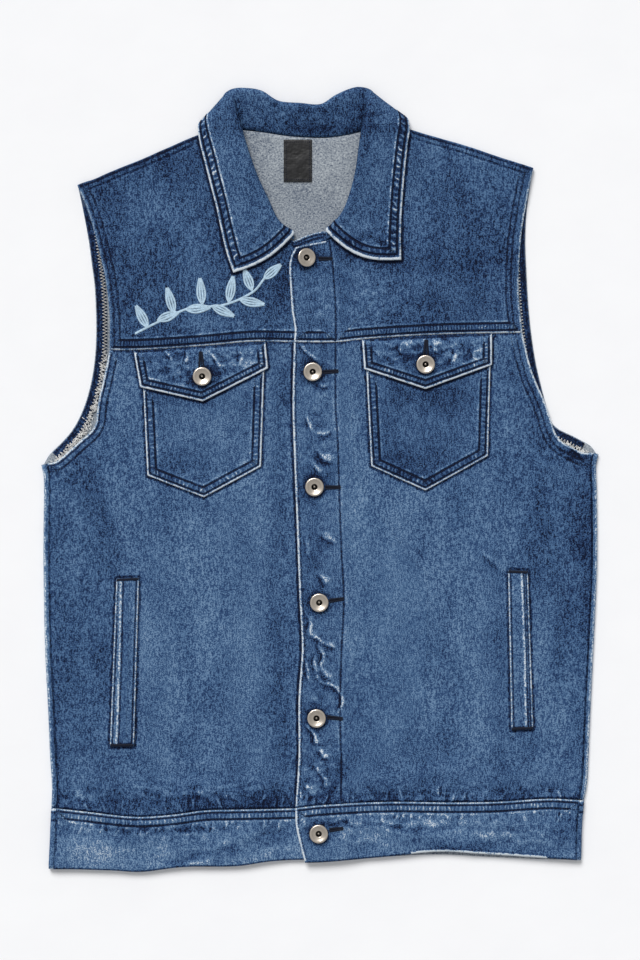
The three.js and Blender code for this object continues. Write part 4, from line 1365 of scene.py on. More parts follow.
@dataclass(frozen=True)
class Nickel:
    """Warm worn nickel, with painted shade in the eye, on the shank and under the rim, where its vertex
    attribute marks it.
    """

    name: str = "button_nickel"

    def build(self) -> Material:
        """Polished grey with cloudy tarnish; the painted shade attribute is 0 on the face and 1 in the eye,
        on the shank and under the rim, where it turns the metal near black.

        Returns:
            The material.
        """
        r = Recipe(self.name)
        at = r.place()
        cloud = r.noise(at, 2.4, 2.0) - 0.5
        hollow, _, _ = r.field("hollow")
        # painted shade: near black in the eye, on the shank and under the rim
        color = r.blend((hollow + cloud * 0.4).held(), srgb(214, 203, 190), srgb(10, 8, 8))
        rough = (0.3 + cloud * 0.2 + hollow * 0.2).held()
        return r.finish({"Base Color": color, "Metallic": 0.95, "Roughness": rough}, cloud * 0.05)


@dataclass(frozen=True)
class Satin:
    """Black woven satin with a soft uneven gloss."""

    name: str = "label_satin"

    def build(self) -> Material:
        """Near black, with faint cross threads and clouds of wear.

        Returns:
            The material.
        """
        r = Recipe(self.name)
        at = r.place()
        weave = r.noise(r.place((0.15, 1.0, 1.0)), 0.7, 1.0) - 0.5
        cloud = r.noise(at, 9.0, 2.0) - 0.5
        color = r.blend((0.3 + cloud * 1.8 + weave * 0.6).held(), srgb(4, 4, 6), srgb(22, 22, 26))
        rough = (0.5 + cloud * 0.3).held()
        return r.finish({"Base Color": color, "Roughness": rough}, weave * 0.08 + cloud * 1.3)


@dataclass
class Finishes:
    """Every material of the vest."""

    body: Material = field(default_factory=Denim("denim_body").build)
    yoke: Material = field(default_factory=Denim("denim_yoke", -0.11, 1.08).build)
    band: Material = field(default_factory=Denim("denim_band", 0.07).build)
    collar: Material = field(default_factory=Denim("denim_collar", -0.08, 1.12).build)
    inside: Material = field(default_factory=InsideDenim().build)
    thread: Material = field(default_factory=Yarn("navy_thread", srgb(20, 31, 58)).build)
    overlock: Material = field(default_factory=Yarn("overlock_thread", srgb(244, 243, 240)).build)
    sprig: Material = field(default_factory=Yarn("sprig_thread", srgb(196, 224, 244), 0.45).build)
    slot_dark: Material = field(default_factory=Yarn("buttonhole_thread", srgb(20, 27, 46)).build)
    nickel: Material = field(default_factory=Nickel().build)
    satin: Material = field(default_factory=Satin().build)


# Sub-assemblies

START, END = np.array(0.0), np.array(1.0)
FLAP_STACK = CLOTH + 2 * REST_GAP + POCKET_CLOTH + FLAP_CLOTH
FRONT_BUTTONS: Rows = (
    (-12.6, 203.8), (-6.4, 98.8), (-4.8, -7.2), (-0.4, -113.6), (-2.9, -220), (-0.9, -325.8),
)


def traced(curve: Curve, count: int = 40) -> Array:
    """That many points along a curve, at even shares."""
    return curve(np.linspace(0.0, 1.0, count))


def shade(path: Array, wear_and_shade: float, worn_at: float, rows: tuple[float, ...] = (), **more: float) -> Seam:
    """A line on a face that no thread is sewn along, with painted shade lines at the distances of its rows,
    where the seam sinks; a negative second argument paints shade along the line itself, a positive one a pale
    worn line.
    """
    return Seam(path, rows, wear_and_shade, worn_at, stitched=False, **more)


def painted_button_shadows(places: Rows) -> Rows:
    """Painted shadows: the soft dark rounds that the buttons cast on the cloth."""
    return tuple((x, y + 0.5, 8.6, 8.6, -1.2) for x, y in places)


def grid_over(xy: Array, rests_at: Height, thickness: float) -> Sheet:
    """A sheet over a patch, whose middle lies half a thickness above what it rests on.

    Args:
        xy: The patch.
        rests_at: Height of what it rests on.
        thickness: Of the cloth.

    Returns:
        The sheet.
    """
    z = rests_at(xy[..., 0], xy[..., 1]) + thickness / 2
    sheet = Sheet()
    sheet.grid(np.dstack([xy, z]))
    return sheet


def sew(thread: Thread, surface: Surface, top_of: Height) -> None:
    """Lays stitches along every row of a face's seams.

    Args:
        thread: What they are sewn with.
        surface: The face.
        top_of: Height of the plain face, without its relief.
    """
    for seam in surface.seams:
        for row in seam.rows if seam.stitched else ():
            even = spaced(seam.path, 1.0)
            path = inset(even, row) if row else even
            thread.along(np.column_stack([path, top_of(*path.T) + surface.relief(path)]))


@dataclass(frozen=True)
class Cloth:
    """One sewn piece of cloth: its name, its node, what it is made of and what it lies on."""

    name: str
    node: str
    thickness: float
    rests_on: tuple[str, ...]
    outer: Material
    inner: Material
    slot: str = "denim"
    turned: float = 0.0

    def make(self, sheet: Sheet, surface: Surface, rests_at: Height, thread: Thread) -> None:
        """Closes a sheet into the piece, states it and sews its seams.

        Args:
            sheet: Its middle surface.
            surface: What lies on its outer face.
            rests_at: Height of what it rests on.
            thread: What it is sewn with.
        """
        piece = wall(self.name, sheet, self.thickness, surface, self.outer, self.inner)
        declare(piece, self.node, self.slot, sheet.area(), flat_of(sheet, self.turned), self.rests_on)
        sew(thread, surface, lambda x, y: rests_at(x, y) + self.thickness)


@dataclass
class Back:
    """The back panel, which goes round both side folds, and its waistband."""

    finishes: Finishes
    armpit_share: float = 0.55
    shoulder_share: float = 0.3
    neck_share: float = 0.64
    side_steps: int = 80
    shoulder_steps: int = 36
    yoke_line: Rows = ((-215, 138), (-120, 128), (0, 122), (120, 130), (205, 142))
    panel_lines: tuple[Rows, ...] = (
        ((-92, 124), (-80, 20), (-66, -150), (-60, -298)),
        ((92, 127), (80, 20), (66, -150), (60, -294)),
    )

    def build(self) -> None:
        """Makes the panel and the band."""
        self.build_panel()
        self.build_band()

    def build_panel(self) -> None:
        """A grid whose sides turn over along the side folds, and whose shoulders turn up."""
        roll = (LAY.body_gap + CLOTH) / 2
        reach = roll + CLOTH / 2
        side_right = offset(smooth_curve(CUT.side_fold_right), -reach)
        side_left = offset(smooth_curve(CUT.side_fold_left), reach)
        arm_right = between(side_right(END), CUT.back_armhole_right, CUT.shoulder_right[0])
        arm_left = between(side_left(END), CUT.back_armhole_left, CUT.shoulder_left[0])
        shoulders = [smooth_curve(CUT.shoulder_right), backwards(smooth_curve(CUT.shoulder_left))]
        top = chain([shoulders[0], smooth_curve(CUT.neck_back), shoulders[1]],
                    [self.shoulder_share, self.neck_share])
        n = self.shoulder_steps
        us = steps((n, self.shoulder_share), (40, self.neck_share), (n, 1))
        vs = steps((self.side_steps, self.armpit_share), (72, 1))
        xy = patch(straight(side_right(START), side_left(START)), top,
                   chain([side_right, arm_right], [self.armpit_share]),
                   chain([side_left, arm_left], [self.armpit_share]), us, vs)
        sheet = Sheet()
        rows = sheet.grid(np.dstack([xy, LAY.back_lift(xy[..., 0], xy[..., 1]) + CLOTH / 2]))
        self.wrap(sheet, rows[: self.side_steps + 1], roll, reach)
        sheet.turn_up(rows[-1, : n + 1][::-1], roll - SEAM_GAP / 2, 1)
        sheet.turn_up(rows[-1, -n - 1:][::-1], roll - SEAM_GAP / 2, 1)
        arms = [traced(arm_right, 60)[::-1], traced(arm_left, 60)]
        folds = [traced(smooth_curve(CUT.side_fold_right))[::-1], traced(smooth_curve(CUT.side_fold_left))]
        seams = [Seam(path, (1.6, 8.5), 0.6, rope=0.4, rise=0.25, pucker=0.1) for path in arms]
        seams += [Seam(path, (), 0.55, 1.2) for path in folds]
        hidden = [(traced(smooth_curve(self.yoke_line))[::-1], 0.8)]
        hidden += [(traced(smooth_curve(line)), 0.7) for line in self.panel_lines]
        seams += [Seam(path, (1.8, 8.2), wear_and_shade, rope=0.5, rise=0.3, pucker=0.12) for path, wear_and_shade in hidden]
        crinkled = Blobs(((-216, 246, 7, 24, 1.2), (191, 262, 7, 24, 1.2)))
        surface = Surface(seams, crinkled=crinkled, ripple=0.04)
        self.cover("back_cloth", "back_panel", sheet, CLOTH, surface, 0.25, self.finishes.body)

    def build_band(self) -> None:
        """The doubled band below the back, whose ends turn over with the side folds."""
        roll = (LAY.body_gap + BAND_CLOTH) / 2
        reach = roll + BAND_CLOTH / 2
        right = offset(smooth_curve(CUT.band_fold_right), -reach)
        left = offset(smooth_curve(CUT.band_fold_left), reach)
        bottom = between(right(START), CUT.hem_back, left(START))
        xy = patch(bottom, straight(right(END), left(END)), right, left, steps((130, 1)), steps((14, 1)))
        sheet = Sheet()
        rows = sheet.grid(np.dstack([xy, np.full(xy.shape[:2], BAND_CLOTH / 2)]))
        self.wrap(sheet, rows, roll, reach)
        top = traced(straight(left(END), right(END)))
        seams = [Seam(top, (4, 11), 0.9, rope=0.5, rise=0.1, pucker=0.12), Seam(traced(bottom), (1.6,), 0.5)]
        surface = Surface(seams, ripple=0.04)
        self.cover("back_band", "back_waistband", sheet, BAND_CLOTH, surface, 0.1, self.finishes.band)

    def wrap(self, sheet: Sheet, rows: Array, roll: float, reach: float) -> None:
        """Turns both sides of a grid over, round a fold of those middle and outer radii."""
        sheet.turn_over(rows[::-1, 0], roll, CUT.wrap_right - reach)
        sheet.turn_over(rows[:, -1], roll, CUT.wrap_left - reach)

    def cover(self, name: str, node: str, sheet: Sheet, thickness: float, surface: Surface, sunk: float,
              outer: Material) -> None:
        """Closes a sheet whose outer face is the lower one.

        Args:
            name: The piece's name.
            node: Its CAD node.
            sheet: Its middle surface.
            thickness: Of the cloth.
            surface: What lies on the outer face.
            sunk: How much lower its relief is set, so that it stays off the floor.
            outer: Finish of the outer face.
        """
        lift = np.minimum(surface.relief(sheet.points[:, :2]) - sunk, -0.03)
        piece = wall(name, sheet, thickness, surface, outer, self.finishes.inside, Side.BOTTOM, lift=lift)
        declare(piece, node, "denim", sheet.area(), flat_of(sheet, 20), ["floor"])


@dataclass(frozen=True)
class CollarForm:
    """The collar's sections, from its neck seam up the stand, over the roll and out to the leaf's edge.

    Attributes:
        floor_gap: Between the leaf and the floor behind the neck.
        rest_gap: Between the leaf and the fronts.
        rows: For each section x and y of its seam, fold and edge, the roll's turn in degrees from lying
            behind the neck to lying on the front, the roll's radius and the bow of its leaf.
    """

    floor_gap: float = 0.1
    rest_gap: float = 0.8
    rows: Rows = (
        (-23.5, 220.2, -24, 226.5, -79.4, 190, 90, 1.6, 5.5),
        (-48, 232.8, -38.4, 238.2, -85.5, 208, 90, 2.6, 2), (-62, 250.6, -48, 258, -90.5, 229, 90, 3.0, 0),
        (-74.6, 268.6, -57, 277, -95, 250, 90, 3.2, 0), (-84.6, 286.6, -64, 296, -100.5, 271, 90, 3.4, 0),
        (-91.4, 303.4, -70, 315, -105.5, 291, 86, 3.6, 0), (-94.4, 314, -76, 337, -110, 309, 72, 4.0, 0),
        (-94.6, 320, -80.5, 350, -111.6, 320.5, 35, 4.4, 0),
        (-92.6, 322.6, -82.5, 355, -110, 328, -10, 4.4, 0),
        (-86, 323.4, -80, 358.4, -101, 325.5, -55, 4.2, 0), (-72, 322.6, -70, 359.4, -82, 314, -84, 4.0, 0),
        (-50, 319.8, -54, 357, -58, 309, -90, 3.8, 0), (-30, 316.8, -38, 347.6, -37, 303, -90, 3.6, 0),
        (-10, 315.3, -18, 345.6, -17, 300, -90, 3.6, 0), (9, 315.3, 1, 344.6, 2, 300, -90, 3.6, 0),
        (26, 317.8, 15, 353, 20, 304, -90, 3.8, 0), (42, 321.8, 29, 359, 44, 310, -84, 4.0, 0),
        (54, 326, 38, 360, 69, 322, -55, 4.2, 0), (60, 328, 43, 356.6, 79.6, 332.4, -10, 4.4, 0),
        (61.4, 325, 43, 347, 82.5, 322, 35, 4.4, 0), (61.4, 316, 41.4, 334, 81, 310, 72, 4.0, 0),
        (60, 303, 38.4, 318, 79.4, 295, 86, 3.6, 0), (57, 288, 36, 301, 77.8, 279, 90, 3.4, 0),
        (52, 272, 33.4, 283, 76.4, 261.6, 90, 3.2, 0), (44.4, 254, 28.6, 264, 75.2, 243, 90, 3.0, 0),
        (33, 235.8, 21, 245, 74.6, 222, 90, 2.6, 3), (5, 219.8, 6.3, 229, 75, 201.8, 90, 1.6, 10),
    )

    def outline(self) -> Array:
        """The leaf's border seen from above, up the right front edge, round and down the left one."""
        points = self.middle(steps((90, 1)), np.zeros(1), np.ones(1), steps((10, 1)))[:, 2:, :2]
        return np.vstack([points[0, :-1], points[:, -1], points[-1, -2::-1]])

    def middle(self, vs: Array, stand: Array, turn: Array, leaf: Array) -> Array:
        """The middle surface at all sections.

        The stand is a straight line from the seam to the roll. The roll is a half circle. The leaf lies on
        what is under it, and what height it has left over fades by the power 1.6 of the way to its edge.

        Args:
            vs: Shares round the neck, from the right front to the left.
            stand: Shares up the stand.
            turn: Shares round the roll.
            leaf: Shares out along the leaf.

        Returns:
            Points, sections by steps by three.
        """
        table = np.asarray(self.rows)
        apart = [np.linalg.norm(np.diff(table[:, k:k + 2], axis=0), axis=1) for k in (0, 2, 4)]
        values = smooth_curve(self.rows, sum(apart) / 3)(vs)
        nx, ny, fx, fy, ex, ey, angle, roll, bow = (values[:, k:k + 1] for k in range(9))
        right = (vs < 0.5)[:, None]
        side = np.where(right, 1.0, -1.0)

        def under(x: Array, y: Array) -> Array:
            """Underside of the front on this side."""
            return np.where(right, LAY.under_right(x, y), LAY.under_left(x, y))

        size = np.hypot(fx - nx, fy - ny)
        ahead = np.array([(fx - nx) / size, (fy - ny) / size, 0 * size])
        sine = np.sin(np.radians(np.clip(angle, -90, 90)))
        cosine = np.sqrt(1 - sine**2)
        on_top = (1 + sine) / 2
        floor = self.floor_gap + COLLAR_CLOTH / 2
        seam_front = under(nx, ny) + CLOTH / 2
        seam_back = LAY.back_lift(nx, ny) + CLOTH / 2
        seam = np.array([nx, ny, mix(seam_back, seam_front, on_top) + SEAM_GAP]) + ahead * REST_GAP
        centre = np.array([fx, fy, mix(floor, seam_front + SEAM_GAP, on_top) + roll]) - ahead * roll
        spin = np.array([-side * ahead[1] * cosine, side * ahead[0] * cosine, sine])
        low = mix(seam, centre - spin * roll, np.stack([stand, stand, stand**0.8])[:, None])
        bend = centre + ahead * roll * np.sin(math.pi * turn) - spin * roll * np.cos(math.pi * turn)
        lift = ease((sine + 0.6) / 1.45)

        def rest(x: Array, y: Array) -> Array:
            """Where the leaf's middle lies: on the floor behind the neck, on the front elsewhere."""
            return mix(floor, under(x, y) + CLOTH + self.rest_gap + COLLAR_CLOTH / 2, lift)

        sx, sy, sz = centre + spin * roll
        lx, ly = np.array([ex - sx, ey - sy]) / np.hypot(ex - sx, ey - sy)
        sag = bow * np.sin(math.pi * leaf)
        x, y = mix(sx, ex, leaf) - side * ly * sag, mix(sy, ey, leaf) + side * lx * sag
        z = rest(x, y) + (sz - rest(sx, sy)) * (1 - leaf) ** 1.6
        return np.moveaxis(np.concatenate([low, bend, [x, y, z]], axis=2), 0, -1)


COLLAR = CollarForm()


@dataclass(frozen=True)
class PocketShape:
    """One chest pocket with its flap: the flap's top, low corners and point, and the pocket's."""

    side: str
    flap_top: Rows
    flap_low: Rows
    flap_point: tuple[float, float]
    mouth: tuple[float, float]
    low: Rows
    point: tuple[float, float]
    button: tuple[float, float]
    tone: float
    tuck: float = 8.0

    @property
    def top(self) -> Rows:
        """The pocket's hidden mouth, a tuck below the flap's top."""
        return tuple((x, y - self.tuck) for x, (_, y) in zip(self.mouth, self.flap_top))

    def outline(self) -> Array:
        """The pocket's sides and bottom, with the pocket on the left."""
        return np.array([self.top[0], self.low[0], self.point, self.low[1], self.top[1]])

    def flap_outline(self) -> Array:
        """The flap's sides and bottom, with the flap on the left."""
        low, high = self.flap_low, self.flap_top
        return np.array([high[0], low[0], self.flap_point, low[1], high[1]])


@dataclass(frozen=True)
class WeltShape:
    """One side pocket's welt: the ends of its lower edge, its upper edge and its piped line."""

    side: str
    low: Rows
    high: Rows
    piping: Rows

    def outline(self) -> Array:
        """Its corners in order, with the welt on the left."""
        return np.array([self.high[0], *self.low, self.high[1], self.high[0]])


POCKETS = (
    PocketShape("right", ((-170.8, 117.6), (-50, 125.8)), ((-165, 84.8), (-47.6, 102.1)), (-107.5, 71.7),
                (-163.4, -50.6), ((-158.4, 3.5), (-54.1, 11.8)), (-106.6, -16.5), (-108.0, 94.4), -0.04),
    PocketShape("left", ((39.1, 128.2), (158.3, 133.8)), ((41, 101.4), (158.3, 105.2)), (97.3, 83),
                (42, 157.6), ((47.6, 12.2), (154.7, 21.6)), (97.3, -10.3), (97.3, 105.5), -0.17),
)
WELTS = (
    WeltShape("right", ((-192.9, -246), (-170.9, -246)), ((-186.9, -91.3), (-166.3, -90.3)),
              ((-186.8, -246), (-182.4, -91))),
    WeltShape("left", ((176.5, -231), (196.4, -230)), ((173.4, -83.4), (191.5, -84.3)),
              ((190.2, -231), (186.0, -83))),
)


@dataclass(frozen=True)
class FrontPart:
    """What the right and the left piece of one part of the front have in common."""

    name: str
    node: str
    below: str = "back_cloth"
    slot: str = "denim"
    thickness: float = CLOTH
    turned: float = 0.0


PANEL = FrontPart("front_cloth", "panel")
YOKE = FrontPart("yoke_cloth", "yoke", slot="yoke_denim", turned=3.0)
BAND = FrontPart("front_band", "waistband", "back_band", thickness=BAND_CLOTH)


@dataclass
class Fronts:
    """Both front panels, both yokes and both front bands."""

    finishes: Finishes
    thread: Thread
    armpit_share: float = 0.7
    shoulder_steps: int = 56

    def build(self) -> None:
        """Makes the six pieces and sews them."""
        self.build_right_panel()
        self.build_left_panel()
        self.build_right_yoke()
        self.build_left_yoke()
        self.build_right_band()
        self.build_left_band()

    def make(self, part: FrontPart, side: str, sheet: Sheet, surface: Surface,
             outer: Material) -> None:
        """Closes one piece's sheet. The left pieces lie on the right ones, and all lie on the back.

        Args:
            part: Which piece it is.
            side: The front it belongs to.
            sheet: Its middle surface.
            surface: What lies on its outer face.
            outer: Finish of that face.
        """
        rests_on = (part.below,) if side == "right" else (f"{part.name}_right", part.below)
        cloth = Cloth(f"{part.name}_{side}", f"front_{side}_{part.node}", part.thickness, rests_on, outer,
                      self.finishes.inside, part.slot, part.turned)
        cloth.make(sheet, surface, LAY.under(side), self.thread)

    def placket(self, low: float, high: float) -> Seam:
        """The line of stitches that holds the turned-back front edge, between two heights."""
        path = traced(smooth_curve(CUT.placket_line), 80)
        path = path[(path[:, 1] > low - 3) & (path[:, 1] < high + 3)]
        return Seam(path, (0.0,), 0.2, -2.0, rope=0.4, pitch=4.2, pucker=0.12)

    def painted_seam_shade(self, bottom: Curve, top: Curve) -> list[Seam]:
        """Painted shade lines along a panel's waist and yoke seams, just below the yoke's edge and where the
        cloth dips to the waist seam.
        """
        return [shade(traced(bottom, 60), -0.55, 0.4, pucker=0.25),
                shade(traced(top, 60)[::-1], -0.6, 0.4, pucker=0.08)]

    def painted_pocket_shadows(self, number: int) -> list[Seam]:
        """Painted shadow lines on the panel just outside the pocket, flap and welt that lie on it."""
        shape = POCKETS[number]
        outlines = [shape.flap_outline(), shape.outline(), WELTS[number].outline()]
        return [shade(path, -0.65, -1.1) for path in outlines]

    def heights(self) -> Array:
        """Shares up a panel: even steps to the armpit, then even steps along the armhole."""
        return steps((150, self.armpit_share), (66, 1))

    def build_right_panel(self) -> None:
        """A patch between waist, yoke seam, the side with its armhole and the hidden edge under the lap."""
        side = offset(smooth_curve(CUT.side_fold_right), -(CUT.wrap_right + SEAM_GAP))
        seam, waist = raised(CUT.yoke_seam_right, -SEAM_GAP / 2), raised(CUT.waist_right, SEAM_GAP / 2)
        arm = between(side(END), CUT.panel_armhole_right, seam[0])
        bottom, top = between(side(START), waist, waist[-1]), smooth_curve(seam)
        xy = patch(bottom, top, chain([side, arm], [self.armpit_share]), straight(waist[-1], seam[-1]),
                   steps((86, 0.73), (30, 1)), self.heights())
        seams = [
            Seam(traced(arm, 60)[::-1], (2.6, 8.0), 1.0, rope=0.45, pitch=5.6, rise=0.25, pucker=0.1),
            shade(traced(side, 60)[::-1], -0.3, 0.6, (0.4,)),
            *self.painted_seam_shade(bottom, top),
            # Painted shadow beside the left front's edge, which laps over this panel.
            shade(traced(smooth_curve(CUT.edge_panel), 60)[::-1], -0.85, -1.2),
            *self.painted_pocket_shadows(0),
        ]
        # The rows at y -297 to -300 are painted shade just above the waist seam, where the blousing cloth
        # dips to it.
        tones = Blobs((
            (-218, -150, 34, 130, -0.09), (-120, -120, 50, 90, 0.05), (-60, -60, 40, 80, 0.03),
            (-36, -180, 12, 120, -0.14), (-190, -300, 60, 8, -0.12), (-110, -299, 70, 9, -0.17),
            (-52, -297, 30, 10, -0.22), (-244, -100, 10, 170, -0.1), (-215, 15, 34, 16, -0.1),
            (-180, 70, 10, 50, -0.02), (-36, 60, 8, 60, -0.12), (-108, -26, 60, 9, -0.05),
            (-150, -60, 60, 24, -0.05), (-201, -170, 9, 80, -0.07), (-163, -170, 8, 80, 0.06),
        ))
        crinkled = Blobs(((-120, -290, 90, 10, 0.8), (-220, -290, 30, 9, 0.6), (-225, 8, 24, 12, 0.6)))
        surface = Surface(seams, FRONT_CREASES, tones, crinkled=crinkled)
        self.make(PANEL, "right", grid_over(xy, LAY.under_right, CLOTH), surface, self.finishes.body)

    def build_left_panel(self) -> None:
        """A patch between waist, yoke seam, the turned-back front edge and the side with its armhole."""
        side = offset(smooth_curve(CUT.side_fold_left), CUT.wrap_left + SEAM_GAP)
        seam, waist = raised(CUT.yoke_seam_left, -SEAM_GAP / 2), raised(CUT.waist_left, SEAM_GAP / 2)
        arm = between(side(END), CUT.panel_armhole_left, seam[-1])
        edge = smooth_curve(CUT.edge_panel)
        bottom = between(CUT.edge_panel[0], waist, side(START))
        top = between(CUT.edge_panel[-1], seam, seam[-1])
        xy = patch(bottom, top, edge, chain([side, arm], [self.armpit_share]), steps((40, 0.2), (94, 1)),
                   self.heights())
        seams = [
            Seam(traced(arm, 60), (6.5, 11.2), 1.1, rope=0.25, rise=0.25, pucker=0.1),
            shade(traced(side, 60), -0.3, 0.6, (0.4,)),
            Seam(traced(edge, 80)[::-1], (2.6,), 1.15, rise=0.3),
            self.placket(-300, 126),
            *self.painted_seam_shade(bottom, top),
            *self.painted_pocket_shadows(1),
        ]
        # The rows at y -292 and -290 are painted shade just above the waist seam, where the blousing cloth
        # dips to it.
        tones = Blobs((
            (228, -60, 36, 110, -0.17), (120, -120, 50, 90, 0.02), (70, -60, 40, 80, 0.03),
            (0, -200, 12, 60, -0.04), (70, -292, 60, 9, -0.15), (180, -290, 60, 8, -0.14),
            (246, -100, 10, 170, -0.1), (-1, -100, 13, 260, -0.035), (215, 30, 34, 16, -0.1),
            (172, 90, 8, 40, -0.06), (20, -265, 12, 20, -0.16), (30, 40, 6, 90, 0.07),
            (2, -40, 10, 60, -0.07), (130, -260, 60, 20, -0.04), (166, -160, 7, 80, -0.07),
            (204, -160, 8, 80, 0.05), *painted_button_shadows(FRONT_BUTTONS[1:5]),
        ))
        crinkled = Blobs((
            (0, -200, 17, 90, 0.6), (0, 20, 15, 70, 0.5), (0, -280, 20, 24, 0.7), (0, 100, 15, 26, 0.5),
            (80, -292, 70, 9, 0.8), (190, -290, 60, 8, 0.6), (225, 24, 24, 12, 0.6),
        ))
        surface = Surface(seams, FRONT_CREASES, tones, crinkled=crinkled)
        self.make(PANEL, "left", grid_over(xy, LAY.under_left, CLOTH), surface, self.finishes.body)

    def yoke_sheet(self, xy: Array, side: str) -> Sheet:
        """A yoke's sheet, whose shoulder turns down to meet the back's.

        Args:
            xy: Its patch.
            side: The front it belongs to.

        Returns:
            The sheet.
        """
        sheet = grid_over(xy, LAY.under(side), CLOTH)
        top_row = np.arange(sheet.count).reshape(xy.shape[:2])[-1]
        n = self.shoulder_steps + 1
        shoulder = top_row[:n] if side == "right" else top_row[-n:]
        sheet.turn_up(shoulder[::-1], (LAY.body_gap + CLOTH) / 2 - SEAM_GAP / 2, -1)
        return sheet

    def build_right_yoke(self) -> None:
        """A patch whose top runs along shoulder and neck, with a tab under the left front."""
        seam = raised(CUT.yoke_seam_right, SEAM_GAP / 2)
        bottom, shoulder = smooth_curve(seam), smooth_curve(CUT.shoulder_right)
        tab = smooth_curve(CUT.neck_right_tab)
        arm = between(seam[0], CUT.yoke_armhole_right, CUT.shoulder_right[0])
        top = chain([shoulder, smooth_curve(CUT.neck_right), tab], [0.45, 0.85])
        us, vs = steps((self.shoulder_steps, 0.45), (64, 0.85), (20, 1)), steps((46, 0.55), (54, 1))
        xy = patch(bottom, top, arm, straight(seam[-1], CUT.neck_right_tab[-1]), us, vs)
        seams = [
            Seam(traced(bottom, 60), (2.4, 9.0), 1.1, rope=1.0, pitch=2.7, rise=0.45, pucker=0.15),
            Seam(traced(arm, 60)[::-1], (4.0, 9.0), 0.55, rope=0.2, rise=0.25, pucker=0.1),
            shade(traced(shoulder)[::-1], -0.2, 0.3, (0.4, 5.0), rope=0.3),
            Seam(traced(tab)[::-1], (2.0, 5.5), 0.9, rope=0.5),
            # Painted shadow on the yoke just outside the collar's leaf.
            shade(COLLAR.outline(), -0.7, 1.3),
        ]
        tones = Blobs((
            (-150, 240, 40, 26, 0.07), (-185, 190, 16, 50, 0.02), (-95, 144, 70, 7, 0.1),
            (-70, 200, 20, 30, -0.06), (-36, 180, 12, 50, -0.12), (-205, 262, 16, 10, -0.08),
            (-120, 292, 60, 14, -0.06), (-180, 155, 14, 20, -0.04),
        ))
        surface = Surface(seams, FRONT_CREASES, tones, -0.04)
        self.make(YOKE, "right", self.yoke_sheet(xy, "right"), surface, self.finishes.yoke)

    def build_left_yoke(self) -> None:
        """A patch whose top runs along neck and shoulder, from the turned-back front edge."""
        seam = raised(CUT.yoke_seam_left, SEAM_GAP / 2)
        bottom, edge = between(CUT.edge_yoke[0], seam, seam[-1]), smooth_curve(CUT.edge_yoke)
        shoulder, tab = smooth_curve(CUT.shoulder_left), smooth_curve(CUT.neck_left_tab)
        arm = between(seam[-1], CUT.yoke_armhole_left, CUT.shoulder_left[0])
        top = chain([tab, smooth_curve(CUT.neck_left), backwards(shoulder)], [0.13, 0.45])
        us, vs = steps((18, 0.13), (66, 0.45), (self.shoulder_steps, 1)), steps((46, 0.55), (54, 1))
        xy = patch(bottom, top, edge, arm, us, vs)
        seams = [
            Seam(traced(bottom, 60), (2.4, 9.0), 1.1, rope=1.0, pitch=2.7, rise=0.45, pucker=0.15),
            Seam(traced(arm, 60), (7.0, 11.5), 0.75, rope=0.25, rise=0.25, pucker=0.1),
            Seam(traced(edge, 50)[::-1], (2.6,), 1.15, rise=0.3),
            self.placket(127, 219),
            shade(traced(shoulder), -0.2, 0.3, (0.4, 5.0), rope=0.3),
            Seam(traced(tab)[::-1], (2.0,), 0.9),
            # Painted shadow on the yoke just outside the collar's leaf.
            shade(COLLAR.outline(), -0.7, 1.3),
        ]
        tones = Blobs((
            (120, 220, 100, 90, -0.1), (60, 170, 34, 22, 0.08), (0, 160, 14, 26, 0.06),
            (90, 198, 40, 10, -0.09), (30, 205, 22, 12, -0.14), (160, 180, 30, 50, -0.05),
            (120, 150, 70, 16, -0.07), *painted_button_shadows(FRONT_BUTTONS[:1]),
        ))
        crinkled = Blobs(((0, 150, 18, 30, 0.5), (60, 165, 40, 20, 0.4)))
        surface = Surface(seams, FRONT_CREASES, tones, 0.07, crinkled)
        self.make(YOKE, "left", self.yoke_sheet(xy, "left"), surface, self.finishes.yoke)

    def build_right_band(self) -> None:
        """A patch between hem and waist seam that ends under the left band."""
        side = offset(smooth_curve(CUT.band_fold_right), -(CUT.wrap_right + SEAM_GAP))
        waist, last = raised(CUT.waist_right, -SEAM_GAP / 2), CUT.hem_right[-1]
        bottom, top = between(side(START), CUT.hem_right, last), between(side(END), waist, waist[-1])
        xy = patch(bottom, top, side, straight(last, waist[-1]), steps((130, 1)), steps((28, 1)))
        seams = [
            Seam(traced(top, 60)[::-1], (2.2, 8.6), 0.52, rope=0.9, pitch=3.4, rise=0.35, pucker=0.18),
            shade(traced(bottom, 60), -0.3, 0.3, (0.3,)),
            shade(traced(side, 20)[::-1], -0.2, 0.6, (0.4,)),
        ]
        tones = Blobs((
            (-180, -342, 60, 12, 0.1), (-60, -345, 30, 8, 0.08), (-110, -342, 24, 6, -0.1),
            (-190, -322, 50, 5, -0.16), (-110, -322, 40, 5, -0.14), (-40, -316, 24, 8, -0.12),
            (-232, -345, 12, 14, -0.04),
        ))
        crinkled = Blobs(((-150, -322, 80, 9, 1.0), (-90, -342, 60, 10, 0.5)))
        surface = Surface(seams, FRONT_CREASES, tones, 0.03, crinkled)
        self.make(BAND, "right", grid_over(xy, LAY.under_right, BAND_CLOTH), surface, self.finishes.band)

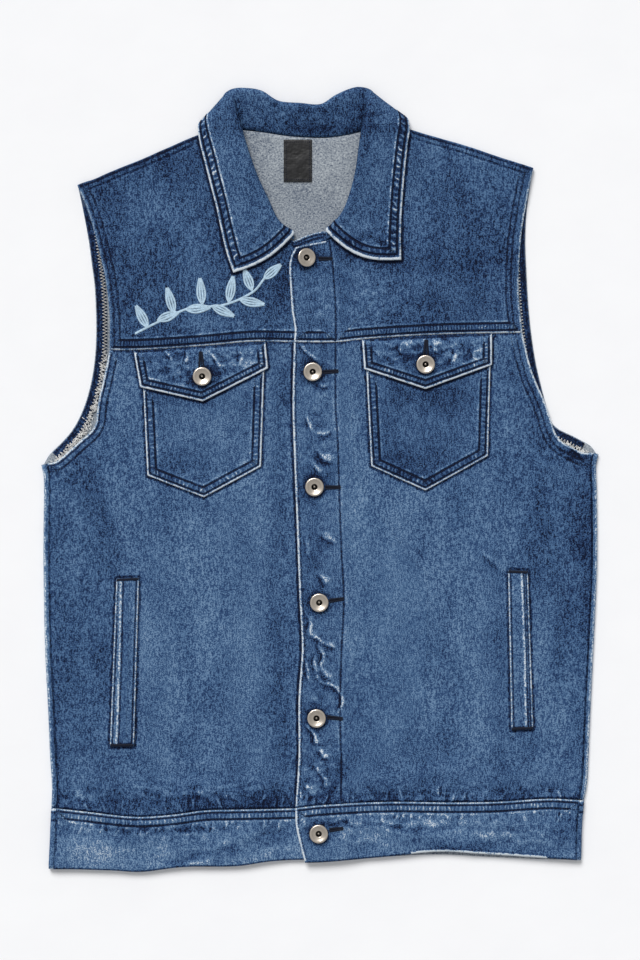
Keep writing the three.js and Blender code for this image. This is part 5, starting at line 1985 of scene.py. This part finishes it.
    def build_left_band(self) -> None:
        """A patch between hem and waist seam, with a worn line along part of its hem."""
        side = offset(smooth_curve(CUT.band_fold_left), CUT.wrap_left + SEAM_GAP)
        edge = smooth_curve(CUT.edge_band)
        bottom = between(CUT.edge_band[0], CUT.hem_left, side(START))
        top = between(CUT.edge_band[-1], raised(CUT.waist_left, -SEAM_GAP / 2), side(END))
        xy = patch(bottom, top, edge, side, steps((132, 1)), steps((28, 1)))
        hem = traced(bottom, 80)
        seams = [
            Seam(traced(top, 60)[::-1], (2.2, 8.6), 0.52, rope=0.9, pitch=3.4, rise=0.35, pucker=0.18),
            shade(hem[hem[:, 0] < 86], -0.3, 0.3, (0.3,)),
            shade(hem[(hem[:, 0] > 84) & (hem[:, 0] < 210)], 1.5, 0.6, (2.9,)),
            shade(hem[hem[:, 0] > 208], -0.3, 0.3, (0.3,)),
            Seam(traced(edge, 30)[::-1], (2.6,), 1.2, rise=0.2),
            shade(traced(side, 20), -0.2, 0.6, (0.4,)),
        ]
        tones = Blobs((
            (60, -322, 60, 8, 0.07), (180, -335, 50, 10, 0.05), (0, -335, 14, 10, 0.04),
            (92, -329, 16, 7, -0.16), (125, -337, 40, 6, -0.16), (140, -323, 34, 7, 0.08),
            (225, -325, 16, 16, -0.1), (10, -316, 20, 6, -0.1), *painted_button_shadows(FRONT_BUTTONS[5:]),
        ))
        crinkled = Blobs(((10, -320, 40, 12, 0.9), (90, -318, 60, 9, 0.8), (190, -326, 50, 14, 0.6)))
        surface = Surface(seams, FRONT_CREASES, tones, crinkled=crinkled)
        self.make(BAND, "left", grid_over(xy, LAY.under_left, BAND_CLOTH), surface, self.finishes.band)


@dataclass
class Pockets:
    """Chest pockets with pointed flaps, and the side pockets' welts."""

    finishes: Finishes
    thread: Thread
    spring: float = 6.5

    def build(self) -> None:
        """Makes each pocket and its flap, then the welts."""
        for shape in POCKETS:
            self.build_pocket(shape)
            self.build_flap(shape)
        for shape in WELTS:
            self.build_welt(shape)

    def pointed(self, top: Rows, low: Rows, point: tuple[float, float], half: int, up: int) -> Array:
        """A grid with straight sides and top whose lower edge comes to a point."""
        bottom = chain([straight(low[0], point), straight(point, low[1])], [0.5])
        return patch(bottom, straight(*top), straight(low[0], top[0]), straight(low[1], top[1]),
                     steps((half, 0.5), (half, 1)), steps((up, 1)))

    def above_panel(self, side: str) -> Height:
        """Height just above one panel."""
        return lambda x, y: LAY.under(side)(x, y) + CLOTH + REST_GAP

    def build_pocket(self, shape: PocketShape) -> None:
        """Lays a pocket on its panel.

        Args:
            shape: The pocket's outlines.
        """
        rests_at = self.above_panel(shape.side)
        xy = self.pointed(shape.top, shape.low, shape.point, 40, 90)
        seams = [
            Seam(shape.outline(), (2.2, 8.2), 1.1, rope=0.85, pitch=4.2, rise=0.3, pucker=0.12),
            # Painted shadow on the pocket just outside the flap that lies on it.
            shade(shape.flap_outline(), -0.8, -1.3),
        ]
        x = sum(shape.mouth) / 2
        # The row at y 78 is painted shadow just below the flap.
        tones = Blobs((
            (x, 46, 34, 26, 0.09), (x, 78, 50, 10, -0.1), (x - 26, 14, 22, 14, -0.16),
            (x + 32, 30, 14, 30, 0.04), (x, 40, 60, 70, shape.tone),
        ))
        surface = Surface(seams, NO_CREASES, tones, crinkled=Blobs(((x, 0, 46, 12, 0.5),)), ripple=0.12)
        cloth = Cloth(f"pocket_cloth_{shape.side}", f"chest_pocket_{shape.side}", POCKET_CLOTH,
                      (f"front_cloth_{shape.side}",), self.finishes.body, self.finishes.inside)
        cloth.make(grid_over(xy, rests_at, POCKET_CLOTH), surface, rests_at, self.thread)

    def build_flap(self, shape: PocketShape) -> None:
        """Lays a flap, which climbs from the yoke seam onto the pocket.

        Args:
            shape: The flap's outlines.
        """
        under = LAY.under(shape.side)
        (x0, y0), (x1, y1) = shape.flap_top

        def rests_at(x: Array, y: Array) -> Array:
            """Close to the panel at its seam, over the pocket's cloth below."""
            below = mix(y0, y1, (x - x0) / (x1 - x0)) - y
            return under(x, y) + CLOTH + mix(REST_GAP, 2 * REST_GAP + POCKET_CLOTH, ease(below / self.spring))

        xy = self.pointed(shape.flap_top, shape.flap_low, shape.flap_point, 42, 34)
        seams = [
            Seam(shape.flap_outline(), (2.7, 7.6), 1.25, rope=1.0, pitch=3.2, rise=0.3, pucker=0.16),
            # Painted shade along the flap's top, below the yoke's edge.
            shade(np.array(shape.flap_top)[::-1], -0.6, 0.6),
        ]
        x, y = shape.flap_point
        tones = Blobs(((x, y + 38, 46, 8, 0.02), (x, y + 16, 16, 8, -0.08), *painted_button_shadows((shape.button,))))
        crinkled = Blobs(((x, y + 32, 60, 20, 1.25),))
        surface = Surface(seams, FLAP_CREASES, tones, crinkled=crinkled, ripple=0.12)
        cloth = Cloth(f"flap_cloth_{shape.side}", f"pocket_flap_{shape.side}", FLAP_CLOTH,
                      (f"pocket_cloth_{shape.side}",), self.finishes.body, self.finishes.body)
        cloth.make(grid_over(xy, rests_at, FLAP_CLOTH), surface, rests_at, self.thread)

    def build_welt(self, shape: WeltShape) -> None:
        """Lays a slim folded strip with a pale piped line, sewn down along both sides and at its ends.

        Args:
            shape: The strip's outlines.
        """
        rests_at = self.above_panel(shape.side)
        xy = ruled(shape.low, shape.high, steps((16, 1)), steps((110, 1)))
        piping = np.array([shape.piping[0], np.mean(shape.piping, axis=0) + (0.6, 0), shape.piping[1]])
        seams = [Seam(shape.outline(), (2.0,), 0.72, 0.2, rope=0.5, rise=0.2),
                 Seam(piping, (-1.6,), 0.55, 0.0, rope=0.5, rise=0.3)]
        low, high = np.mean(shape.low, axis=0), np.mean(shape.high, axis=0)
        surface = Surface(seams, NO_CREASES, Blobs(((*low, 13, 2.6, -0.6), (*high, 13, 2.0, -0.5))))
        cloth = Cloth(f"welt_cloth_{shape.side}", f"side_welt_{shape.side}", WELT_CLOTH,
                      (f"front_cloth_{shape.side}",), self.finishes.body, self.finishes.body)
        cloth.make(grid_over(xy, rests_at, WELT_CLOTH), surface, rests_at, self.thread)
        tacks = Thread(self.finishes.slot_dark, radius=0.45, length=3.0)
        for edge, inward in ((shape.low, 1.4), (shape.high, -1.4)):
            xy = straight(*edge)(np.linspace(0.03, 0.97, 24)) + (0.0, inward)
            tacks.lay(xy, rests_at(*xy.T) + WELT_CLOTH + 0.3, np.array((0.25, 1.0)))
        tacks.build(f"welt_tacks_{shape.side}")


@dataclass
class Armholes:
    """The turned hems inside the back's armholes, with their overlocked edges."""

    finishes: Finishes
    inset: float = 0.8
    width: float = 9.0
    start: float = 0.05
    end: float = 0.93
    mean_width: float = 0.0088
    flat_width: float = 0.01

    def build(self) -> None:
        """Makes each strip and the zigzag thread along its inner edge."""
        for side, rows, inward in (("right", CUT.back_armhole_right, -1), ("left", CUT.back_armhole_left, 1)):
            edge = smooth_curve(rows)
            outer, inner = offset(edge, inward * self.inset), offset(edge, inward * (self.inset + self.width))
            vs = mix(self.start, self.end, steps((120, 1)))
            strip = mix(outer(vs)[:, None], inner(vs)[:, None], steps((6, 1))[None, :, None])
            sheet = grid_over(strip[:, ::-inward], self.rests_at, FACING_CLOTH)
            surface = Surface([Seam(outer(vs)[::inward], (1.2, 7.4), 0.3, rope=0.2)], tone=-0.3, ripple=0.05)
            piece = wall(f"armhole_hem_{side}", sheet, FACING_CLOTH, surface, self.finishes.yoke,
                         self.finishes.inside)
            zigzag = self.zigzag(side, inner, outer, vs)
            self.fray(side, inner)
            declare(piece, f"armhole_facing_{side}", "denim_inside", sheet.area(),
                    (round(sheet.area() / self.mean_width, 3), self.flat_width), ["back_cloth"])

    def rests_at(self, x: Array, y: Array) -> Array:
        """Just above the back."""
        return LAY.back_top(x, y) + SEAM_GAP

    def fray(self, side: str, inner: Curve) -> None:
        """Loose pale ends scattered beside the strip's inner edge, thickest at the armpit.

        Args:
            side: The armhole's side.
            inner: The strip's inner edge.
        """
        random = np.random.default_rng(5 if side == "right" else 6)
        count, reach = (300, 0.42) if side == "right" else (120, 0.2)
        share = reach * random.random(count) ** 1.4
        xy = inner(share) + random.normal(0, 1.8, (count, 2))
        z = self.rests_at(*xy.T) + FACING_CLOTH + random.random(count) * 0.5
        angle = random.random(count) * 2 * math.pi
        ends = Thread(self.finishes.overlock, radius=0.3)
        ends.lay(xy, z, np.stack([np.cos(angle), np.sin(angle)], 1))
        ends.build(f"fray_{side}", 3.4)

    def zigzag(self, side: str, inner: Curve, outer: Curve, vs: Array) -> Object:
        """Thread that runs to and fro over the strip's inner edge, a triangle wave along it.

        Args:
            side: The armhole's side.
            inner: The strip's inner edge.
            outer: Its outer edge.
            vs: The shares that the strip covers.

        Returns:
            The piece.
        """
        line = spaced(inner(np.linspace(vs[0], vs[-1], 400)), 1.5)
        share = np.linspace(vs[0], vs[-1], len(line))
        swing = np.where(np.arange(len(line)) % 2 == 0, -0.4, 3.6)[:, None]
        xy = line + unit(outer(share) - inner(share)) * swing
        z = self.rests_at(*xy.T) + FACING_CLOTH + 0.25
        points, faces = tube(np.column_stack([xy, z]), 0.6)
        piece = new_mesh(f"overlock_{side}", points, [faces], [self.finishes.overlock])
        return piece


@dataclass
class Label:
    """The black satin label inside the neck, bare, with a stitched border."""

    finishes: Finishes
    low: Rows = ((-33.0, 274.0), (-7.3, 274.0))
    high: Rows = ((-33.0, 312.6), (-7.3, 312.6))

    def build(self) -> None:
        """A flat grid with stitches round it."""

        def rests_at(x: Array, y: Array) -> Array:
            """Just above the back."""
            return LAY.back_top(x, y) + SEAM_GAP

        sheet = grid_over(ruled(self.low, self.high, steps((30, 1)), steps((44, 1))), rests_at, LABEL_CLOTH)
        outline = np.array([*self.low, *self.high[::-1], self.low[0]])
        surface = Surface([Seam(outline, (2.2,), 0.0, rise=0.18)], ripple=0.08)
        satin = self.finishes.satin
        piece = wall("neck_label_satin", sheet, LABEL_CLOTH, surface, satin, satin)
        thread = Thread(self.finishes.slot_dark, pitch=2.0)
        sew(thread, surface, lambda x, y: rests_at(x, y) + LABEL_CLOTH)
        stitches = thread.build("label_stitches", 1.4)
        declare(piece, "neck_label", "label_satin", sheet.area(), flat_of(sheet), ["back_cloth"])


@dataclass(frozen=True)
class Reaches:
    """How far each point of the collar lies from its outer edge and from its two front edges."""

    edge: Array
    start: Array
    end: Array

    @classmethod
    def of(cls, points: Array) -> "Reaches":
        """Adds up the lengths along the sections and along the lines that join them.

        Args:
            points: Of the collar, sections by steps by three.

        Returns:
            The distances, one for each point.
        """
        out = np.linalg.norm(np.diff(points, axis=1), axis=2)
        edge = np.concatenate([np.cumsum(out[:, ::-1], axis=1)[:, ::-1], np.zeros((len(points), 1))], axis=1)
        round_neck = np.linalg.norm(np.diff(points, axis=0), axis=2)
        start = np.concatenate([np.zeros((1, points.shape[1])), np.cumsum(round_neck, axis=0)])
        return cls(edge, start, start[-1:] - start)


@dataclass
class Collar:
    """The collar's cloth, with its roped edge and two rows of stitches."""

    finishes: Finishes
    thread: Thread
    rows: tuple[float, float] = (3.5, 10.5)
    end_rows: tuple[float, float] = (5.2, 11.0)
    pitch: float = 5.6
    long_turn: float = 8.4
    flat_length: float = 0.66
    mean_length: float = 0.62

    def build(self) -> None:
        """Makes the collar and sews it. Its stand and the first quarter of its roll are its inner side."""
        stand, turn, leaf = steps((12, 1))[:-1], steps((12, 1)), steps((32, 1))[1:]
        points = COLLAR.middle(steps((330, 1)), stand, turn, leaf)
        sheet = Sheet()
        sheet.grid(points)
        sheet.faces = [faces[:, ::-1] for faces in sheet.faces]
        normals = sheet.normals().reshape(points.shape)
        away = Reaches.of(points)
        inner = np.tile(np.arange(points.shape[1]) < len(stand) + 4, (len(points), 1))
        creases, fields = self.fields(points[..., :2].reshape(-1, 2), normals, away, inner)
        lift = self.relief(normals, away, inner) + creases
        denim = self.finishes.collar
        piece = wall("collar_cloth", sheet, COLLAR_CLOTH, Surface(), denim, denim, fields=fields,
                     lift=lift.ravel())
        area = sheet.area()
        flat = (self.flat_length, round(area / self.mean_length, 3))
        declare(piece, "collar", "denim", area, flat, ["yoke_cloth_right", "yoke_cloth_left", "floor"])
        face = points + normals * (COLLAR_CLOTH / 2 + lift[..., None])
        for row in self.rows:
            self.sew_row(np.concatenate([face, normals], axis=2), away, len(stand) + len(turn) - 1, row)

    def relief(self, normals: Array, away: Reaches, inner: Array) -> Array:
        """How far the outer face stands off its plain form: a raised, roped edge on what is seen from above.

        Args:
            normals: Of the middle surface.
            away: The points' distances from the edges.
            inner: Which points are on the inner side.

        Returns:
            The heights, sections by steps.
        """
        nearest = np.minimum(away.edge, np.minimum(away.start, away.end))
        along = self.along(away)
        uneven = 1.4 * np.sin(along / 21) + 0.8 * np.sin(along / 7.3)
        turns = np.cos(2 * math.pi * along / self.long_turn + uneven)
        lift = 0.45 * ease((self.rows[1] + 3 - nearest) / 2.5) * ease((nearest + 0.9) / 1.2)
        lift += 0.3 * turns * np.clip(1 - (nearest - self.rows[1]) / 6, 0, 1) * ease(nearest / 2.0)
        seen = ease((normals[..., 2] + 0.7) / 0.7)
        return np.where(inner, 0.0, lift * seen - 0.35 * (1 - seen))

    def along(self, away: Reaches) -> Array:
        """The length along whichever edge is nearest."""
        return np.where(away.edge < np.minimum(away.start, away.end), away.start[:, -1:], away.edge)

    def fields(self, xy: Array, normals: Array, away: Reaches,
               inner: Array) -> tuple[Array, dict[str, Array]]:
        """The creases' rise, and the vectors that the finish reads.

        Args:
            xy: x and y, one point a row.
            normals: Of the middle surface.
            away: The points' distances from the edges.
            inner: Which points are on the inner side.

        Returns:
            The rise, sections by steps, and the vectors by name, one a row.
        """
        to_end = np.minimum(away.start, away.end)
        at_end = to_end < away.edge
        top = (normals[..., 2] > 0.3) & ~inner
        rise, pale = Crease((
            (23, 221, 38, 227, 3, 0.5, 0.25), (38, 227, 62, 222, 3, 0.45, 0.3),
            (24, 226, 44, 218, 3, -0.4, -0.25), (-58, 232, -44, 240, 3, 0.4, 0.2),
            (-66, 214, -50, 222, 4, 0.3, 0.15),
        )).fields(xy)
        gathers = Crease(puckers(CUT.neck_back[1:-1], 1, 5, 12)).fields(xy)[1]
        # The rows at (-74, 336) and (39, 334) are painted shade where the stand turns over into the leaf.
        tones = Blobs((
            (-70, 345, 26, 12, -0.04), (0, 335, 50, 14, -0.12), (0, 322, 70, 6, -0.2),
            (56, 270, 24, 80, -0.05), (50, 300, 10, 60, 0.04), (-78, 290, 10, 40, 0.04),
            (68, 214, 14, 8, -0.08), (-74, 336, 4, 14, -0.2), (39, 334, 4, 14, -0.2),
            (-60, 214, 16, 8, -0.06),
        ))
        tone = tones.tone(xy) + np.where(top.ravel(), pale, np.where(inner.ravel(), gathers, 0))
        crinkle = Blobs(((40, 224, 30, 10, 0.6), (-52, 226, 24, 12, 0.5), (0, 335, 90, 16, 0.4))).tone(xy)
        depth = np.where(inner, 99, np.minimum(away.edge, to_end))
        seam = np.stack([depth, self.along(away) / self.pitch, np.where(at_end, 1.7, 1.15)], -1)
        rows = np.where(at_end[..., None], (*self.end_rows, 1.0), (*self.rows, 1.5))
        rows = np.where(inner[..., None], (-99.0, -99.0, 0.0), rows)
        fields = {
            "seam": seam.reshape(-1, 3),
            "rows": rows.reshape(-1, 3),
            "tone": np.stack([tone, crinkle, np.where(at_end, 1.2, 0.3).ravel()], 1),
        }
        return np.where(top.ravel(), rise, 0).reshape(top.shape), fields

    def sew_row(self, face: Array, away: Reaches, leaf_from: int, row: float) -> None:
        """Stitches at a distance inside the leaf's outer edge and its two front edges.

        Args:
            face: Points of the outer face with their normals, sections by steps by six.
            away: The points' distances from the edges.
            leaf_from: The step at which the leaf begins.
            row: The stitch row's distance.
        """
        ends = np.minimum(away.start, away.end)[:, -1:] + 0 * away.edge
        self.sew_lines(face[:, ::-1], away.edge[:, ::-1], ends, row)
        leaf, edge, start, end = (
            values[:, leaf_from:].swapaxes(0, 1) for values in (face, away.edge, away.start, away.end)
        )
        self.sew_lines(leaf, start, edge, row)
        self.sew_lines(leaf[:, ::-1], end[:, ::-1], edge[:, ::-1], row)

    def sew_lines(self, lines: Array, near: Array, far: Array, row: float) -> None:
        """Stitches through the place on each line that lies the row's distance from one edge.

        Args:
            lines: Points with their normals, lines by points by six.
            near: Their distances from that edge, rising along each line.
            far: Their distances from the other edges. A place closer to those than the row is left out.
            row: The stitch row's distance.
        """
        number, found = np.arange(lines.shape[1]), []
        for line, nearer, farther in zip(lines, near, far):
            at = np.interp(row, nearer, number)
            if np.interp(at, number, farther) >= row:
                found.append([np.interp(at, number, column) for column in line.T])
        stitches = np.array(found)
        self.thread.along(stitches[:, :3], stitches[:, 3:])


@dataclass
class Buttons:
    """Dished metal buttons on shanks: six down the front and one on each flap."""

    finishes: Finishes
    tilt: float = math.radians(20)
    shank: float = 4.2
    sides: int = 48
    # Each row: radius, height, and share of painted shade, 1 in the eye, on the shank and under the rim.
    profile: Rows = (
        (0.001, 0, 1), (4.2, 0, 1), (4.2, 1.0, 1), (7.6, 1.05, 1), (8.45, 1.5, 0.95), (8.6, 2.2, 0.6),
        (8.45, 2.8, 0.15), (8.0, 3.12, 0), (7.4, 3.2, 0), (6.9, 3.12, 0.02), (6.2, 2.9, 0.16),
        (5.2, 2.6, 0.1), (4.2, 2.36, 0.04), (3.3, 2.2, 0), (2.95, 2.12, 0.2), (2.75, 1.9, 0.95),
        (2.5, 1.2, 1), (1.3, 1.1, 1), (1.0, 1.5, 0.9), (0.6, 1.75, 0.6), (0.001, 1.8, 0.5),
    )

    def build(self) -> None:
        """Makes the six front buttons, of which the top one leans, and the two on the flaps."""
        for i, (x, y) in enumerate(FRONT_BUTTONS):
            thickness = BAND_CLOTH if y < LAY.waist(x) else CLOTH
            top = float(LAY.under_left(*np.array((x, y)))) + thickness
            self.make(f"front_button_{i + 1}", x, y, top, self.tilt if i == 0 else 0.0)
        for shape in POCKETS:
            top = float(LAY.under(shape.side)(*np.array(shape.button))) + FLAP_STACK
            self.make(f"pocket_button_{shape.side}", *shape.button, top, 0.0)

    def make(self, node: str, x: float, y: float, top: float, tilt: float) -> None:
        """A profile turned about an upright axis, tilted about Y and set on the cloth.

        Args:
            node: The CAD node it stands for.
            x: Of its middle.
            y: Of its middle.
            top: Height of the cloth under it.
            tilt: Its lean towards the wearer's left.
        """
        radius, height, hollow = np.array(self.profile).T
        angle = np.arange(self.sides) * 2 * math.pi / self.sides
        across, up = np.outer(radius, np.cos(angle)), np.repeat(height[:, None], self.sides, 1)
        turned = np.stack([across * math.cos(tilt) + up * math.sin(tilt), np.outer(radius, np.sin(angle)),
                           up * math.cos(tilt) - across * math.sin(tilt)], -1).reshape(-1, 3)
        turned += (x, y, top + SEAM_GAP + self.shank * math.sin(abs(tilt)))
        index = np.arange(len(turned)).reshape(-1, self.sides)
        marks = np.zeros((len(turned), 3))
        marks[:, 0] = np.repeat(hollow, self.sides)
        faces = [closed(index), np.array([index[0][::-1], index[-1]])]
        piece = new_mesh(f"{node}_metal", turned, faces, [self.finishes.nickel], attributes={"hollow": marks})
        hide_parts(node)


@dataclass
class Buttonholes:
    """Sewn slits beside the front buttons and above the flap buttons, each row the two ends of one."""

    finishes: Finishes
    front: Rows = (
        (-1, 203, 12, 203), (3, 98.5, 17, 99.5), (5, -7.5, 19, -7.5), (9, -112, 22, -110),
        (7, -219, 21, -220.5), (9, -322.5, 22, -321),
    )
    flaps: Rows = ((-108.6, 103, -109.4, 117), (97.6, 114, 98, 128))

    def build(self) -> None:
        """Sews every slit with one thread."""
        thread = Thread(self.finishes.slot_dark, radius=0.42)
        for row in self.front:
            stack = BAND_CLOTH if row[1] < LAY.waist(row[0]) else CLOTH
            self.slit(thread, row, LAY.under_left, stack, 1.2)
        for shape, row in zip(POCKETS, self.flaps):
            self.slit(thread, row, LAY.under(shape.side), FLAP_STACK, 2.0)
        thread.build("buttonholes", 2.1)

    def slit(self, thread: Thread, row: Sequence[float], under: Height, stack: float, spread: float) -> None:
        """Short stitches square to a slit on both its sides, and a dark bar between them.

        Args:
            thread: What it is sewn with.
            row: x and y of its end by the button, then of its far end.
            under: Underside of the front it is on.
            stack: Thickness of the cloth there.
            spread: How far off the slit the stitches lie at the button, narrowing away from it.
        """
        line = np.array(row, float).reshape(2, 2)
        even = spaced(line, 0.75)
        ahead = unit(line[1] - line[0])
        width = np.linspace(spread, 0.8, len(even))[:, None]
        for sign in (-1, 1):
            xy = even + leftward(ahead) * sign * width
            thread.lay(xy, under(*xy.T) + stack + 0.35, leftward(ahead))
        thread.lay(even, under(*even.T) + stack + 0.2, ahead)


@dataclass
class Sprig:
    """A leafy sprig in satin stitch on the right chest, each leaf's row x, y, degrees and length."""

    finishes: Finishes
    closeness: float = 0.55
    leaf_width: float = 4.2
    stem: Rows = ((-170, 134), (-146, 146), (-118, 158), (-90, 160), (-62, 172), (-50, 186))
    leaves: Rows = (
        (-158, 139, 118, 22), (-150, 146, 20, 20), (-134, 152, 105, 24), (-124, 156, 5, 22),
        (-108, 160, 95, 24), (-100, 160, -25, 22), (-84, 162, 80, 24), (-74, 165, -10, 22),
        (-62, 173, 110, 20), (-52, 184, 40, 20),
    )

    def build(self) -> None:
        """Lays threads across the stem and slantwise across the leaves."""
        stems, leafy = (Thread(self.finishes.sprig, radius=0.34, slot="yoke_denim") for _ in range(2))
        stem = spaced(traced(smooth_curve(self.stem), 200), self.closeness)
        ahead = unit(np.gradient(stem, axis=0))
        stems.lay(stem, self.height(stem), ahead * 0.5 + leftward(ahead))
        stems.build("sprig_stem", 2.6)
        for *foot, degrees, length in self.leaves:
            angle = math.radians(degrees)
            along = np.array([math.cos(angle), math.sin(angle)])
            s = np.arange(0.5, length, self.closeness)
            width = self.leaf_width * np.sin(math.pi * (s / length) ** 0.8) + 0.5
            for sign in (-1, 1):
                for share in (0.25, 0.75):
                    across = np.outer(sign * width * share, leftward(along))
                    xy = np.array(foot) + np.outer(s + 1.6 * share, along) + across
                    leafy.lay(xy, self.height(xy), leftward(along) * sign + along * 0.7)
        leafy.build("sprig_leaves", 2.4)

    def height(self, xy: Array) -> Array:
        """Where the threads' middles lie, just above the yoke."""
        return LAY.under_right(*xy.T) + CLOTH + 0.32


@dataclass
class Studio:
    """The pale floor, soft lights and the camera straight above."""

    distance: float = 2.406
    long_side: float = 0.8832
    floor_half: float = 3.0

    def build(self) -> None:
        """Places the floor, a soft sun, an even sky and the camera."""
        self.floor()
        self.sun((-0.35, 0.85, 0.95), 2.5, 0.55)
        world = bpy.data.worlds.new("studio")
        world.use_nodes = True
        sky = world.node_tree.nodes["Background"]
        sky.inputs[0].default_value = (0.98, 0.99, 1.0, 1.0)
        sky.inputs[1].default_value = 0.45
        bpy.context.scene.world = world
        bpy.context.scene.view_settings.view_transform = "Standard"
        data = bpy.data.cameras.new("camera")
        data.sensor_width = 36.0
        data.lens = 36.0 * (self.distance - 0.006) / self.long_side
        data.clip_start, data.clip_end = 0.1, 20.0
        camera = bpy.data.objects.new("camera", data)
        camera.location = (0.0003, -0.0007, self.distance)
        bpy.context.scene.collection.objects.link(camera)
        bpy.context.scene.camera = camera

    def floor(self) -> None:
        """A level square under the vest that isn't part of it."""
        mesh, half = bpy.data.meshes.new("floor"), self.floor_half
        corners = [(-half, -half, 0), (half, -half, 0), (half, half, 0), (-half, half, 0)]
        mesh.from_pydata(corners, [], [(0, 1, 2, 3)])
        made = bpy.data.objects.new("floor", mesh)
        bpy.context.scene.collection.objects.link(made)
        recipe = Recipe("pale_floor")
        mottle = recipe.noise(recipe.place(), 60.0, 3.0) - 0.5
        color = recipe.blend((0.5 + mottle).held(), (0.905, 0.905, 0.92), (0.945, 0.945, 0.955))
        made.data.materials.append(recipe.finish({"Base Color": color, "Roughness": 0.8}, mottle * 0.6))

    def sun(self, place: tuple[float, float, float], power: float, spread: float) -> None:
        """Hangs an even soft light.

        Args:
            place: Where it shines from.
            power: Its strength.
            spread: The angle that it fills.
        """
        data = bpy.data.lights.new("key", "SUN")
        data.energy, data.angle = power, spread
        made = bpy.data.objects.new("key", data)
        made.location = place
        made.rotation_euler = (-Vector(place)).to_track_quat("-Z", "Y").to_euler()
        bpy.context.scene.collection.objects.link(made)


def main() -> None:
    """Builds the studio and every part of the vest."""
    logging.basicConfig(level=logging.INFO, format="%(message)s")
    Studio().build()
    finishes = Finishes()
    thread = Thread(finishes.thread)
    for part in (Back(finishes), Fronts(finishes, thread), Pockets(finishes, thread), Armholes(finishes),
                 Label(finishes), Collar(finishes, thread), Buttons(finishes), Buttonholes(finishes),
                 Sprig(finishes)):
        part.build()
        log.info("%s built", type(part).__name__)
    thread.build("topstitching")


if __name__ == "__main__":
    main()
